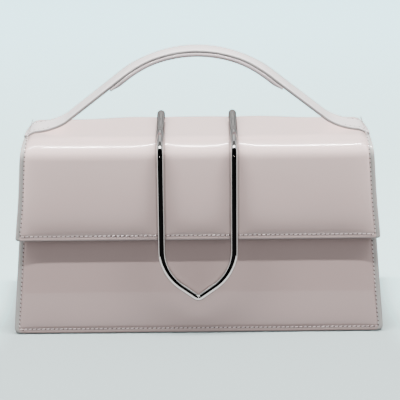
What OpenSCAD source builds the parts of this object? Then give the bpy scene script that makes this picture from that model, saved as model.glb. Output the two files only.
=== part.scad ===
// Small structured handbag: a boxy body with folded gussets, a flap with a polished ring, a strap handle.
// Millimetres. The origin is the middle of the base on the ground, +X to the right, -Y to the front, +Z up.

/* [Body] */
// Width of the body at the base
body_w = 242; // [200:1:290]
// Width of the body at the mouth
mouth_w = 218.5; // [180:0.5:270]
// Height of the body up to the mouth
body_h = 126; // [110:1:150]
// Depth of the body at the base
base_depth = 70; // [60:1:90]
// Depth of the body at the mouth
mouth_depth = 48; // [44:1:60]
// How much lower the mouth lies at the front and sides than at the hinge
mouth_drop = 6.5; // [5:0.5:12]
// Radius of the lower corners of the front and back
corner_r = 4; // [2:0.5:8]

/* [Materials] */
// Thickness of the body leather
leather_t = 2; // [1.4:0.1:2.6]
// Thickness of the gusset leather
gusset_t = 1.6; // [1.2:0.1:2.2]
// Thickness of the stiffening boards
board_t = 1.6; // [1.2:0.1:2.2]
// Thickness of the lining
lining_t = 0.6; // [0.4:0.1:1]
// Thickness of the leather facing round the mouth
facing_t = 1.2; // [0.8:0.1:1.6]
// Height of the leather facing round the mouth
facing_h = 22; // [14:1:34]
// Thickness of the flap leather
flap_leather_t = 1.6; // [1.2:0.1:2.2]
// Thickness of the reinforcement in the flap
flap_board_t = 1.5; // [1.4:0.1:2.2]

/* [Gussets] */
// Width of the seam margin that the gussets turn out
seam_margin = 6; // [4:0.5:9]
// Depth of the inward fold of each gusset at the mouth
gusset_fold = 13; // [8:0.5:18]

/* [Flap] */
// Height of the flap front, from its top down to its lower edge
flap_drop = 64.7; // [50:0.1:80]
// How far the flap stands past the body at each lower corner
flap_lap = 2.2; // [0.6:0.1:4]
// How far the flap stands past the body at each end of its top
flap_top_lap = 0.6; // [0.4:0.1:2]
// Outer radius of the flap shoulder
shoulder_r = 12; // [9:0.5:14]
// Radius of the lower corners of the flap
flap_corner_r = 5; // [2:0.5:10]
// Gap between the closed flap and the body
flap_gap = 0.4; // [0.3:0.1:1]

/* [Ring] */
// Diameter of the ring rod
rod_d = 5; // [4:0.1:6]
// Distance between the two bars of the ring, centre to centre
ring_spacing = 46.5; // [36:0.5:60]
// How far the ring reaches below the lower edge of the flap
ring_reach = 40.6; // [36:0.1:50]
// Radius of the bends that lead into the point of the ring, at the rod centre
ring_side_r = 30; // [24:0.5:36]
// Slope of the two sides of the ring's point in degrees
ring_point_slope = 36; // [30:1:42]
// Radius of the sharp bend at the tip of the ring, at the rod centre
ring_tip_r = 3.2; // [3.1:0.1:6]

/* [Handle] */
// Height of the handle above the flap top
handle_rise = 53.3; // [44:0.1:60]
// Slope of the handle legs in degrees
leg_angle = 37; // [34:1:42]
// Share of the bends of the handle that lies where it leaves the flap, the rest being in its crown
root_share = 0.335; // [0.28:0.005:0.38]
// Width of the handle strap at its grip
strap_w = 14.5; // [12:0.5:18]
// Width of the strap at its legs and ends
strap_end_w = 20; // [18:0.5:26]
// Thickness of the strap
strap_t = 1.8; // [1.4:0.1:2.4]
// Thickness of the stiffener between strap and grip
stiffener_t = 0.6; // [0.4:0.1:1]
// Thickness of the grip layer under the strap
grip_t = 1.6; // [1.2:0.1:2.4]
// Length of straight leg that the grip covers below the crown
grip_leg = 6; // [3:0.5:12]

/* [Side rings] */
// How far the side ring pivots lie below the top of the gussets
side_ring_drop = 7.1; // [5.6:0.1:20]
// Wire diameter of the side rings
wire_d = 2.6; // [2:0.1:3]
// Inside width of the side rings
side_ring_w = 11.4; // [10:0.1:13]
// Width of the leather tabs that hold the side rings
tab_w = 9; // [7:0.5:9.5]

/* [Fasteners] */
// Diameter of the magnets
magnet_d = 14; // [10:0.5:18]
// Diameter of the ring screws
screw_d = 2.5; // [2:0.1:3]

/* [Hidden] */
$fn = 72;

// Cuts run past what they cut by this much
overrun = 1;
// Glued and sewn layers lie this far apart
seam = 0.1;
// Pieces that end against one another stay this far apart
butt = 0.3;
// A straight run is this much slimmer than the bend it joins, and reaches into it by this length
join_step = 0.03;
join_over = 0.3;

// Front and back lean in towards the mouth
lean = atan((base_depth - mouth_depth) / 2 / body_h);
slant = body_h / cos(lean);
front_slant = slant - mouth_drop / cos(lean);
panel_foot = 0.5;
panel_top_drop = 0.1;
board_top_drop = seam_margin / 2;
facing_top_drop = seam_margin / 4;
inner_skin = leather_t + seam;
board_back = inner_skin + board_t;
lining_face = board_back + seam;
facing_back = lining_face + facing_t;

// Base
base_t = leather_t;
base_flange_h = 8;
base_board_z = base_t + seam;
base_lining_z = base_board_z + board_t + seam;
base_top = base_lining_z + lining_t;
base_y = base_depth / 2 - (board_back + butt) / cos(lean) - base_top * tan(lean);
base_end_x = half_width(base_flange_h) - fold_at(base_flange_h) - seam_margin - gusset_t - butt;
base_lining_end_x = base_end_x - lining_t;

// Gussets
side_edge_gap = 0.4;
gusset_bottom = side_edge_gap;
gusset_top = body_h - mouth_drop - side_edge_gap;
gusset_inner = seam_margin + gusset_t;
side_ring_z = gusset_top - side_ring_drop;
gusset_steps = 8;
fold_columns = 24;
fold_power = 2.4;
fold_margin = facing_back - inner_skin + butt;
gusset_lean = atan(((body_w - mouth_w) / 2 + gusset_fold) / body_h);

// Slip pocket on the back lining
pocket_w_share = 0.55;
pocket_h_share = 0.58;
pocket_z = base_top + 16;
pocket_t = 0.8;
pocket_gap = 1.4;
pocket_seam_w = 2;

// Flap
flap_t = flap_leather_t + seam + flap_board_t + seam + lining_t;
flap_board_depth = flap_leather_t + seam;
flap_lining_depth = flap_board_depth + flap_board_t + seam;
flap_under = body_h + flap_gap;
flap_top = flap_under + flap_t;
flap_bottom = flap_top - flap_drop;
shoulder_z = flap_top - shoulder_r;
shoulder_y = -base_depth / 2 + (shoulder_r - flap_gap - flap_t) / cos(lean) + shoulder_z * tan(lean);
shoulder_slant = (shoulder_r - flap_gap - flap_t) * tan(lean) + shoulder_z / cos(lean);
hinge_y = mouth_depth / 2 - flap_t / 2;
hinge_z = flap_top - flap_t / 2;
reinforcement_inset = 3;
flap_lining_inset = 0.6;
hinge_setback = 3;

// Magnets
magnet_t = flap_board_t - seam;
magnet_clear = 0.15;
magnet_above_edge = 17;
magnet_z = flap_bottom / cos(lean) + magnet_above_edge;
magnet_side_y = seam / 2;

// Ring
rod_r = rod_d / 2;
rod_side = -(flap_gap + flap_t + seam + rod_r);
rod_top = flap_top + seam + rod_r;
ring_half = ring_spacing / 2;
ring_rear_gap = 0.6;
ring_rear_y = hinge_y - flap_t / 2 - rod_r - ring_rear_gap;
ring_rear_r = 3.5;
ring_offset = ring_side_r - ring_half;
ring_turn = 90 - ring_point_slope;
ring_arc_x = ring_side_r * cos(ring_turn) - ring_offset;
ring_arc_drop = ring_side_r * sin(ring_turn);
ring_side_len = (ring_arc_x - ring_tip_r * sin(ring_point_slope)) / cos(ring_point_slope);
ring_centre_drop = ring_arc_drop + ring_side_len * sin(ring_point_slope) - ring_tip_r * cos(ring_point_slope);
ring_tip_z = flap_bottom / cos(lean) - ring_reach + rod_r;
ring_bend_z = ring_tip_z + ring_tip_r + ring_centre_drop;
stud_d = 4;
stud_z = magnet_z;
stud_clear = 0.15;
ring_hole_clear = 0.6;

// Ring screws
screw_head_d_share = 1.84;
screw_head_t_share = 0.52;
screw_head_d = screw_head_d_share * screw_d;
screw_head_t = screw_head_t_share * screw_d;
screw_len = 3.8;
thread_depth = 3.2;
thread_clear = 0.05;
screw_hole_clear = 0.25;
screw_seat = 0.7;
head_clear = 0.2;

// Handle
strap_end_gap = 0.1;
strap_landing = 2.3;
strap_end_x = half_width(flap_top) + flap_top_lap - strap_end_gap;
strap_flat_x = strap_end_x - strap_landing + strap_end_gap;
handle_drop = handle_rise - seam - strap_t;
bend_sum = (strap_flat_x * sin(leg_angle) - handle_drop * cos(leg_angle)) / (1 - cos(leg_angle));
root_r = bend_sum * root_share;
crown_r = bend_sum - root_r;
leg_len = (strap_flat_x - bend_sum * sin(leg_angle)) / cos(leg_angle);
handle_top = flap_top + handle_rise;
crown_z = handle_top - crown_r;
root_z = flap_top + seam + strap_t + root_r;
tilt_setback = 1.5;
tilt_x = strap_flat_x - root_r * sin(leg_angle) - tilt_setback;
tilt_gap = 0.4;
stiffener_depth = strap_t + seam;
grip_depth = stiffener_depth + stiffener_t + seam;
stiffener_inset = 2;
waist_start_share = 0.25;
waist_end_share = 0.47;
waist_steps = 10;

// Side rings
wire_r = wire_d / 2;
side_ring_r = side_ring_w / 2 + wire_r;
side_ring_leg = 3.5;
tab_base = 0.45;
tab_t = 1.8;
tab_len = 16;
tab_eye_t = 1.2;
tab_clear = 0.08;
pivot_gap = 0.75;
pivot_out = tab_base + tab_t + wire_r + pivot_gap;

function half_width(z) = body_w / 2 - (body_w - mouth_w) / 2 * z / slant;
function panel_y(z, depth) = base_depth / 2 - z * tan(lean) - depth / cos(lean);
function front_point(depth, z) = [
    -base_depth / 2 + depth * cos(lean) + z * sin(lean),
    z * cos(lean) - depth * sin(lean)
];
function slope_at(depth, height) = (height + depth * sin(lean)) / cos(lean);
function fold_at(z) = gusset_fold * z / body_h;
function gusset_x(z) = half_width(z / cos(lean)) - seam_margin - fold_at(z);

// Frame of the leaning front: x along it, y into the bag, z up its slope
module on_front() {
    translate([0, -base_depth / 2, 0])
        rotate([-lean, 0, 0])
            children();
}

module on_back() {
    mirror([0, 1, 0])
        on_front()
            children();
}

// Stands a flat outline up between two depths
module plate(depth, thickness) {
    translate([0, depth + thickness, 0])
        rotate([90, 0, 0])
            linear_extrude(height = thickness)
                children();
}

module on_left() {
    mirror([1, 0, 0])
        children();
}

// Runs a side view along the width of the bag
module along_width(w) {
    rotate([90, 0, 90])
        linear_extrude(height = w, center = true)
            children();
}

// Outline of the front between two heights, drawn in from the sides and flared out at its foot
module trapezoid(z0, z1, inset, flare = 0) {
    polygon([
        [-half_width(z0) + inset - flare, z0],
        [half_width(z0) - inset + flare, z0],
        [half_width(z1) - inset, z1],
        [-half_width(z1) + inset, z1]
    ]);
}

module rounded_trapezoid(z0, z1, inset, r, flare = 0) {
    at_r = flare * (z1 - z0 - r) / (z1 - z0);
    trapezoid(z0 + r, z1, inset, at_r);
    trapezoid(z0, z1, inset + r, flare);
    for (side = [-1, 1])
        translate([side * (half_width(z0 + r) - inset - r + at_r), z0 + r])
            circle(r);
}

// Ring sector between two angles, less than half a turn
module sector(r0, r1, a0, a1) {
    reach = 2 * r1;
    mid = (a0 + a1) / 2;
    intersection() {
        difference() {
            circle(r1);
            circle(r0);
        }
        polygon([
            [0, 0],
            [reach * cos(a0), reach * sin(a0)],
            [reach * cos(mid), reach * sin(mid)],
            [reach * cos(a1), reach * sin(a1)]
        ]);
    }
}

// Front and back panels
module panel_outline(top) {
    rounded_trapezoid(panel_foot, top - panel_top_drop, 0, corner_r);
}

module front_panel() {
    color([0.77, 0.72, 0.715])
        on_front()
            plate(0, leather_t)
                panel_outline(front_slant);
}

module back_panel() {
    color([0.77, 0.72, 0.715])
        on_back()
            plate(0, leather_t)
                panel_outline(slant);
}

// Base leather with its front and back seam edges turned up
module base_panel() {
    front = [
        front_point(inner_skin, slope_at(inner_skin, 0)),
        front_point(inner_skin, base_flange_h),
        front_point(board_back, base_flange_h),
        front_point(board_back, slope_at(board_back, base_t))
    ];
    color([0.7, 0.65, 0.645])
        along_width(2 * base_end_x)
            polygon(concat(front, reversed([for (p = front) [-p[0], p[1]]])));
}

// Gussets: one sheet that turns out along the seams and folds inwards between them
function fold_share(s) = 1 - pow(abs(s), fold_power);

function gusset_sheet(z, inset, t) = [
    for (i = [0:fold_columns])
        let (s = 2 * i / fold_columns - 1)
            [
                half_width(z / cos(lean)) - inset - t - fold_at(z) * fold_share(s),
                s * (panel_y(z, inner_skin) - fold_margin),
                z
            ]
];

function moved_x(points, dx) = [for (p = points) [p[0] + dx, p[1], p[2]]];

function reversed(points) = [for (i = [len(points) - 1:-1:0]) points[i]];

function gusset_ring(z) =
    let (
        tip = half_width(z / cos(lean)) - side_edge_gap,
        corner = half_width(z / cos(lean)) - gusset_inner,
        y = panel_y(z, inner_skin),
        inside = gusset_sheet(z, seam_margin, gusset_t)
    )
    concat(
        [[tip, -y, z], [corner, -y, z]],
        inside,
        [[corner, y, z], [tip, y, z], [tip, y - gusset_t, z], [corner + gusset_t, y - gusset_t, z]],
        reversed(moved_x(inside, gusset_t)),
        [[corner + gusset_t, -y + gusset_t, z], [tip, -y + gusset_t, z]]
    );

function lining_ring(z) =
    let (inside = gusset_sheet(z, gusset_inner + 2 * seam, lining_t))
    concat(inside, reversed(moved_x(inside, lining_t)));

// Joins closed rings of points into one solid. A ring runs out along one skin and back along the other.
module loft(rings) {
    n = len(rings[0]);
    last = len(rings) - 1;
    walls = [
        for (j = [0:last - 1], i = [0:n - 1])
            let (a = j * n + i, b = j * n + (i + 1) % n)
                each [[a, b + n, b], [a, a + n, b + n]]
    ];
    half = n / 2;
    caps = [
        for (i = [0:half - 2])
            let (a = i, b = i + 1, c = n - 2 - i, d = n - 1 - i, up = last * n)
                each [[a, b, c], [a, c, d], [up + a, up + c, up + b], [up + a, up + d, up + c]]
    ];
    polyhedron(points = [for (ring = rings) each ring], faces = concat(walls, caps));
}

module gusset() {
    color([0.72, 0.67, 0.665])
        loft([
            for (j = [0:gusset_steps])
                gusset_ring(gusset_bottom + (gusset_top - gusset_bottom) * j / gusset_steps)
        ]);
}

module gusset_lining() {
    z0 = base_top + butt;
    color([0.62, 0.55, 0.53])
        loft([
            for (j = [0:gusset_steps])
                lining_ring(z0 + (gusset_top - z0) * j / gusset_steps)
        ]);
}

module gusset_left() {
    on_left()
        gusset();
}

module gusset_right() {
    gusset();
}

module gusset_lining_left() {
    on_left()
        gusset_lining();
}

module gusset_lining_right() {
    gusset_lining();
}

// Stiffening boards
module side_board_outline(top) {
    trapezoid(base_flange_h + butt, top - board_top_drop, gusset_inner + butt);
}

module front_board() {
    color([0.6, 0.52, 0.42])
        on_front()
            difference() {
                plate(inner_skin, board_t)
                    side_board_outline(front_slant);
                translate([0, inner_skin - overrun, magnet_z])
                    rotate([-90, 0, 0])
                        cylinder(d = magnet_d + 2 * magnet_clear, h = board_t + 2 * overrun);
            }
}

module back_board() {
    color([0.6, 0.52, 0.42])
        on_back()
            plate(inner_skin, board_t)
                side_board_outline(slant);
}

module base_board() {
    color([0.6, 0.52, 0.42])
        translate([-base_lining_end_x, -base_y, base_board_z])
            cube([2 * base_lining_end_x, 2 * base_y, board_t]);
}

// Linings and facings
module side_lining_outline(top) {
    z0 = slope_at(lining_face + lining_t, base_top + butt);
    trapezoid(z0, top - facing_h - butt, gusset_inner + lining_t + 2 * seam + butt);
}

module front_lining() {
    color([0.62, 0.55, 0.53])
        on_front()
            plate(lining_face, lining_t)
                side_lining_outline(front_slant);
}

module back_lining() {
    color([0.62, 0.55, 0.53])
        on_back()
            plate(lining_face, lining_t)
                side_lining_outline(slant);
}

module base_lining() {
    color([0.62, 0.55, 0.53])
        translate([-base_lining_end_x, -base_y, base_lining_z])
            cube([2 * base_lining_end_x, 2 * base_y, lining_t]);
}

module facing(top) {
    color([0.74, 0.69, 0.685])
        plate(lining_face, facing_t)
            trapezoid(top - facing_h, top - facing_top_drop, gusset_inner + lining_t + 2 * seam + butt);
}

module front_facing() {
    on_front()
        facing(front_slant);
}

module back_facing() {
    on_back()
        facing(slant);
}

// Flat pocket, open at the top, sewn to the back lining along three edges
module slip_pocket() {
    w = mouth_w * pocket_w_share;
    h = body_h * pocket_h_share;
    y = lining_face + lining_t + seam;
    color([0.6, 0.53, 0.51])
        on_back()
            difference() {
                translate([-w / 2, y, pocket_z])
                    cube([w, pocket_gap + pocket_t, h]);
                translate([-w / 2 + pocket_seam_w, y - overrun, pocket_z + pocket_seam_w])
                    cube([w - 2 * pocket_seam_w, pocket_gap + overrun, h]);
            }
}

// Magnets
module magnet() {
    color("silver")
        rotate([-90, 0, 0])
            cylinder(d = magnet_d, h = magnet_t);
}

module catch_magnet() {
    on_front()
        translate([0, inner_skin + magnet_side_y, magnet_z])
            magnet();
}

module flap_magnet() {
    on_front()
        translate([0, flap_board_depth - flap_t - flap_gap + magnet_side_y, magnet_z])
            magnet();
}

// One layer of the flap in side view, between two depths below its outer face
module flap_layer(d0, d1, rear_y) {
    sheet = d1 - d0 - 2 * join_step;
    translate([shoulder_y - join_over, flap_top - d1 + join_step])
        square([rear_y - shoulder_y + 2 * join_over, sheet]);
    translate([shoulder_y, shoulder_z]) {
        sector(shoulder_r - d1, shoulder_r - d0, 90, 180 - lean);
        rotate(180 - lean)
            translate([shoulder_r - d1 + join_step, -join_over])
                square([sheet, flap_drop + join_over]);
    }
}

// The flap seen from the front, drawn in from its edges
module flap_face(inset) {
    z0 = flap_bottom + inset;
    r = max(flap_corner_r - inset, seam);
    translate([0, base_depth, 0])
        rotate([90, 0, 0])
            linear_extrude(height = 2 * base_depth)
                rounded_trapezoid(z0, flap_top + overrun, inset - flap_top_lap, r, flap_lap - flap_top_lap);
}

// Places holes for the studs at the front and the rod ends at the rear
module at_studs() {
    for (side = [-1, 1])
        on_front()
            translate([side * ring_half, -flap_gap - flap_t, stud_z])
                rotate([-90, 0, 0])
                    children();
}

module at_rod_ends() {
    for (side = [-1, 1])
        translate([side * ring_half, ring_rear_y, flap_top])
            rotate([180, 0, 0])
                children();
}

// Flap leather, rolled round at the hinge edge
module flap_leather() {
    color([0.78, 0.735, 0.73])
        difference() {
            intersection() {
                along_width(body_w) {
                    flap_layer(0, flap_leather_t, hinge_y);
                    translate([hinge_y, hinge_z])
                        sector(flap_t / 2 - flap_leather_t, flap_t / 2, -90, 90);
                }
                flap_face(0);
            }
            at_studs()
                translate([0, 0, -overrun])
                    cylinder(d = stud_d + 2 * stud_clear, h = flap_leather_t + 2 * overrun);
            at_rod_ends()
                translate([0, 0, -overrun])
                    cylinder(d = rod_d + 2 * ring_hole_clear, h = flap_leather_t + 2 * overrun);
        }
}

// Seats of the ring screws, drilled through a layer from the outer face inwards
module screw_seats() {
    at_studs()
        screw_seat_cut();
    at_rod_ends()
        screw_seat_cut();
}

module screw_seat_cut() {
    cylinder(d = screw_d + 2 * screw_hole_clear, h = flap_t + overrun);
    translate([0, 0, flap_board_depth + screw_seat])
        cylinder(d = screw_head_d + 2 * head_clear, h = flap_t);
}

module flap_reinforcement() {
    color([0.6, 0.52, 0.42])
        difference() {
            intersection() {
                along_width(body_w)
                    flap_layer(flap_board_depth, flap_board_depth + flap_board_t, hinge_y - hinge_setback);
                flap_face(reinforcement_inset);
            }
            screw_seats();
            on_front()
                translate([0, -flap_t - flap_gap, magnet_z])
                    rotate([-90, 0, 0])
                        cylinder(d = magnet_d + 2 * magnet_clear, h = flap_t);
        }
}

module flap_lining() {
    color([0.7, 0.65, 0.645])
        difference() {
            intersection() {
                along_width(body_w)
                    flap_layer(flap_lining_depth, flap_t, hinge_y - flap_lining_inset);
                flap_face(flap_lining_inset);
            }
            screw_seats();
        }
}

// A bent length of rod about the local z axis
module rod_bend(r, bend_r, a0, a1) {
    rotate([0, 0, a0])
        rotate_extrude(angle = a1 - a0)
            translate([bend_r, 0])
                circle(r);
}

// Polished ring: two bars over the top and down the flap, joined in a rounded point
module ring() {
    color([0.8, 0.8, 0.82])
        difference() {
            union() {
                for (side = [-1, 1])
                    translate([side * ring_half, 0, 0])
                        ring_bar();
                on_front()
                    translate([0, rod_side, ring_bend_z])
                        rotate([90, 0, 0])
                            ring_loop();
            }
            at_studs()
                translate([0, 0, flap_leather_t - thread_depth])
                    cylinder(d = screw_d + 2 * thread_clear, h = thread_depth + overrun);
            at_rod_ends()
                translate([0, 0, flap_leather_t - thread_depth])
                    cylinder(d = screw_d + 2 * thread_clear, h = thread_depth + overrun);
        }
}

module ring_bar() {
    bend_y = ring_rear_y - ring_rear_r;
    bend_z = rod_top - ring_rear_r;
    on_front() {
        translate([0, rod_side, ring_bend_z - join_over])
            cylinder(r = rod_r - join_step, h = shoulder_slant - ring_bend_z + 2 * join_over);
        translate([0, rod_side, stud_z])
            rotate([-90, 0, 0])
                cylinder(d = stud_d, h = rod_r + seam + flap_leather_t);
    }
    translate([0, shoulder_y, shoulder_z])
        rotate([90, 0, 90])
            rod_bend(rod_r, shoulder_r + seam + rod_r, 90, 180 - lean);
    translate([0, shoulder_y - join_over, rod_top])
        rotate([-90, 0, 0])
            cylinder(r = rod_r - join_step, h = bend_y - shoulder_y + 2 * join_over);
    translate([0, bend_y, bend_z])
        rotate([90, 0, 90])
            rod_bend(rod_r, ring_rear_r, 0, 90);
    translate([0, ring_rear_y, flap_top - flap_leather_t])
        cylinder(r = rod_r - join_step, h = bend_z - flap_top + flap_leather_t + join_over);
}

module ring_loop() {
    tip_start = 270 - ring_point_slope;
    for (side = [0, 1])
        mirror([side, 0, 0]) {
            translate([ring_offset, 0, 0])
                rod_bend(rod_r, ring_side_r, 180, 180 + ring_turn);
            translate([-ring_arc_x, -ring_arc_drop, 0])
                rotate([0, 90, -ring_point_slope])
                    translate([0, 0, -join_over])
                        cylinder(r = rod_r - join_step, h = ring_side_len + 2 * join_over);
        }
    translate([0, -ring_centre_drop, 0])
        rod_bend(rod_r, ring_tip_r, tip_start, 540 - tip_start);
}

// Four screws that hold the ring from inside the flap
module ring_screw() {
    head_z = flap_board_depth + screw_seat;
    translate([0, 0, head_z - screw_len])
        cylinder(d = screw_d, h = screw_len);
    translate([0, 0, head_z])
        cylinder(d = screw_head_d, h = screw_head_t);
}

module ring_screws() {
    color("dimgray") {
        at_studs()
            ring_screw();
        at_rod_ends()
            ring_screw();
    }
}

// Handle in front view: crown arc, straight legs, a bend that meets the flap, flat ends
module crown_layer(d0, d1) {
    translate([0, crown_z])
        sector(crown_r - d1, crown_r - d0, 90 - leg_angle, 90 + leg_angle);
}

module leg_layer(d0, d1, length) {
    translate([0, crown_z])
        rotate(90 - leg_angle)
            translate([crown_r - d1 + join_step, -length - join_over])
                square([d1 - d0 - 2 * join_step, length + 2 * join_over]);
}

module root_layer(d0, d1) {
    translate([strap_flat_x, root_z])
        sector(root_r + d0, root_r + d1, 270 - leg_angle, 270);
    translate([strap_flat_x - join_over, root_z - root_r - d1 + join_step])
        square([strap_end_x - strap_flat_x + join_over, d1 - d0 - 2 * join_step]);
}

module both_sides() {
    for (side = [0, 1])
        mirror([side, 0, 0])
            children();
}

module across_depth(w) {
    translate([0, w / 2, 0])
        rotate([90, 0, 0])
            linear_extrude(height = w)
                children();
}

// The strap from one flap edge to the other
module strap_band(w) {
    across_depth(w) {
        crown_layer(0, strap_t);
        both_sides() {
            leg_layer(0, strap_t, leg_len);
            root_layer(0, strap_t);
        }
    }
}

// Half the width of the strap, which is slim at the grip and wider down its legs
function strap_half(x) =
    let (
        x0 = waist_start_share * strap_end_x,
        x1 = waist_end_share * strap_end_x,
        share = min(1, max(0, (abs(x) - x0) / (x1 - x0)))
    ) (strap_w + (strap_end_w - strap_w) * pow(share, 2) * (3 - 2 * share)) / 2;

// Column with the outline of the strap as seen from above, between its two splits
module strap_outline() {
    x0 = waist_start_share * strap_end_x;
    x1 = waist_end_share * strap_end_x;
    right = concat([for (i = [0:waist_steps]) x0 + (x1 - x0) * i / waist_steps], [tilt_x]);
    stations = concat(reversed([for (x = right) -x]), right);
    front = [for (x = stations) [x, -strap_half(x)]];
    translate([0, 0, flap_top])
        linear_extrude(height = handle_rise + overrun)
            polygon(concat(front, reversed([for (p = front) [p[0], -p[1]]])));
}

module handle_strap() {
    color([0.77, 0.725, 0.72])
        intersection() {
            strap_band(strap_end_w + overrun);
            strap_outline();
        }
}

// Strap end, sewn flat on the flap
module handle_end() {
    x0 = tilt_x + tilt_gap;
    color([0.77, 0.725, 0.72])
        intersection() {
            strap_band(strap_end_w);
            translate([x0, -strap_end_w, flap_top])
                cube([strap_end_x, 2 * strap_end_w, handle_rise]);
        }
}

module handle_end_left() {
    on_left()
        handle_end();
}

module handle_end_right() {
    handle_end();
}

module handle_stiffener() {
    color([0.6, 0.52, 0.42])
        across_depth(strap_w - 2 * stiffener_inset)
            crown_layer(stiffener_depth, stiffener_depth + stiffener_t);
}

module handle_grip() {
    color([0.74, 0.69, 0.685])
        intersection() {
            across_depth(strap_end_w + overrun)
                both_sides() {
                    crown_layer(grip_depth, grip_depth + grip_t);
                    leg_layer(grip_depth, grip_depth + grip_t, grip_leg);
                }
            strap_outline();
        }
}

// Frame of the right gusset fold: x out of it, z up its slope
module on_gusset() {
    translate([gusset_x(side_ring_z), 0, side_ring_z])
        rotate([0, -gusset_lean, 0])
            children();
}

// Leather tab, folded round the straight bar of the side ring
module side_tab() {
    eye_r = wire_r + tab_clear + tab_eye_t;
    color([0.77, 0.725, 0.72])
        on_gusset()
            difference() {
                union() {
                    translate([tab_base, -tab_w / 2, -tab_len])
                        cube([tab_t, tab_w, tab_len]);
                    translate([tab_base, -tab_w / 2, 0])
                        cube([pivot_out - tab_base, tab_w, eye_r]);
                    translate([pivot_out, 0, 0])
                        rotate([90, 0, 0])
                            cylinder(r = eye_r, h = tab_w, center = true);
                }
                translate([pivot_out, 0, 0])
                    rotate([90, 0, 0])
                        cylinder(r = wire_r + tab_clear, h = tab_w + overrun, center = true);
            }
}

module side_tab_left() {
    on_left()
        side_tab();
}

module side_tab_right() {
    side_tab();
}

// D shaped ring of round wire
module side_ring() {
    color([0.8, 0.8, 0.82])
        on_gusset()
            translate([pivot_out, 0, 0]) {
                rotate([90, 0, 0])
                    cylinder(r = wire_r, h = 2 * side_ring_r, center = true);
                for (side = [-1, 1])
                    translate([0, side * side_ring_r, 0]) {
                        sphere(wire_r);
                        translate([0, 0, -side_ring_leg])
                            cylinder(r = wire_r, h = side_ring_leg);
                    }
                translate([0, 0, -side_ring_leg])
                    rotate([0, 90, 0])
                        rotate([0, 0, -90])
                            rotate_extrude(angle = 180)
                                translate([side_ring_r, 0])
                                    circle(wire_r);
            }
}

module side_ring_left() {
    on_left()
        side_ring();
}

module side_ring_right() {
    side_ring();
}

front_panel();
back_panel();
base_panel();
gusset_left();
gusset_right();
front_board();
back_board();
base_board();
front_lining();
back_lining();
base_lining();
gusset_lining_left();
gusset_lining_right();
front_facing();
back_facing();
slip_pocket();
catch_magnet();
side_tab_left();
side_tab_right();
side_ring_left();
side_ring_right();
flap_leather();
flap_reinforcement();
flap_lining();
flap_magnet();
ring();
ring_screws();
handle_end_left();
handle_end_right();
handle_strap();
handle_stiffener();
handle_grip();
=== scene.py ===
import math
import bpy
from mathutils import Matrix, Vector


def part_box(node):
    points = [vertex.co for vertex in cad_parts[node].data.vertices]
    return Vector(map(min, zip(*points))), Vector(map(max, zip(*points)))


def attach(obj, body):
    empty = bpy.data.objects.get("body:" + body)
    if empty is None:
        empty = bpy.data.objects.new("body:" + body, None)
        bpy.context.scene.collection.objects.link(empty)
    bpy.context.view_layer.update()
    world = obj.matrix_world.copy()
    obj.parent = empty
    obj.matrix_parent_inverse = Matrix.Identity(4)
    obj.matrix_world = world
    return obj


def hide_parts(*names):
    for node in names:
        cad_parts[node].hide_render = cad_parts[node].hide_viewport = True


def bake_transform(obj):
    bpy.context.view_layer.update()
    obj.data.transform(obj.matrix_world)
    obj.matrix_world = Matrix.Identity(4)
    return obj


bl_info = {
    "name": "Structured flap handbag",
    "version": (1, 0, 0),
    "blender": (4, 5, 0),
    "location": "View3D > Sidebar > Handbag",
    "description": "Dresses the packed CAD model of a small flap handbag in leather, thread and metal",
    "category": "Object",
}

import bmesh
import bpy
import numpy as np
from mathutils import Matrix, Vector

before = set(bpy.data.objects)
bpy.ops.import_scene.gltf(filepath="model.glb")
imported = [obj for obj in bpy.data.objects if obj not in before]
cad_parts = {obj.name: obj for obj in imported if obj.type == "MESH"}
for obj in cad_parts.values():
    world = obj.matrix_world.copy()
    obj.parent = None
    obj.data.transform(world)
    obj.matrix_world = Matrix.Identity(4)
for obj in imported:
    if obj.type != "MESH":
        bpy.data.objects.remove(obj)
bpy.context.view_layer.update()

MM = 0.001

# Sizes shared with the CAD model, in millimetres
BODY_W = 242.0
MOUTH_W = 218.5
BODY_H = 126.0
BASE_DEPTH = 70.0
MOUTH_DEPTH = 48.0
MOUTH_DROP = 6.5
CORNER_R = 4.0
LEATHER_T = 2.0
GUSSET_T = 1.6
BOARD_T = 1.6
LINING_T = 0.6
FACING_T = 1.2
FACING_H = 22.0
FLAP_LEATHER_T = 1.6
FLAP_BOARD_T = 1.5
SEAM = 0.1
SEAM_MARGIN = 6.0
GUSSET_FOLD = 13.0
FOLD_POWER = 2.4
FLAP_DROP = 64.7
FLAP_LAP = 2.2
FLAP_TOP_LAP = 0.6
SHOULDER_R = 12.0
FLAP_GAP = 0.4
ROD_D = 5.0
RING_SPACING = 46.5
RING_REACH = 40.6
RING_SIDE_R = 30.0
RING_SLOPE = math.radians(36.0)
RING_TIP_R = 3.2
RING_REAR_R = 3.5
HANDLE_RISE = 53.3
LEG_ANGLE = math.radians(37.0)
ROOT_SHARE = 0.335
STRAP_W = 14.5
STRAP_END_W = 20.0
STRAP_T = 1.8
GRIP_T = 1.6
STIFFENER_T = 0.6
WIRE_D = 2.6
SIDE_RING_W = 11.4
SIDE_RING_DROP = 7.1
TAB_W = 9.0
TAB_T = 1.8
TAB_BASE = 0.45
PIVOT_GAP = 0.75

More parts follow.
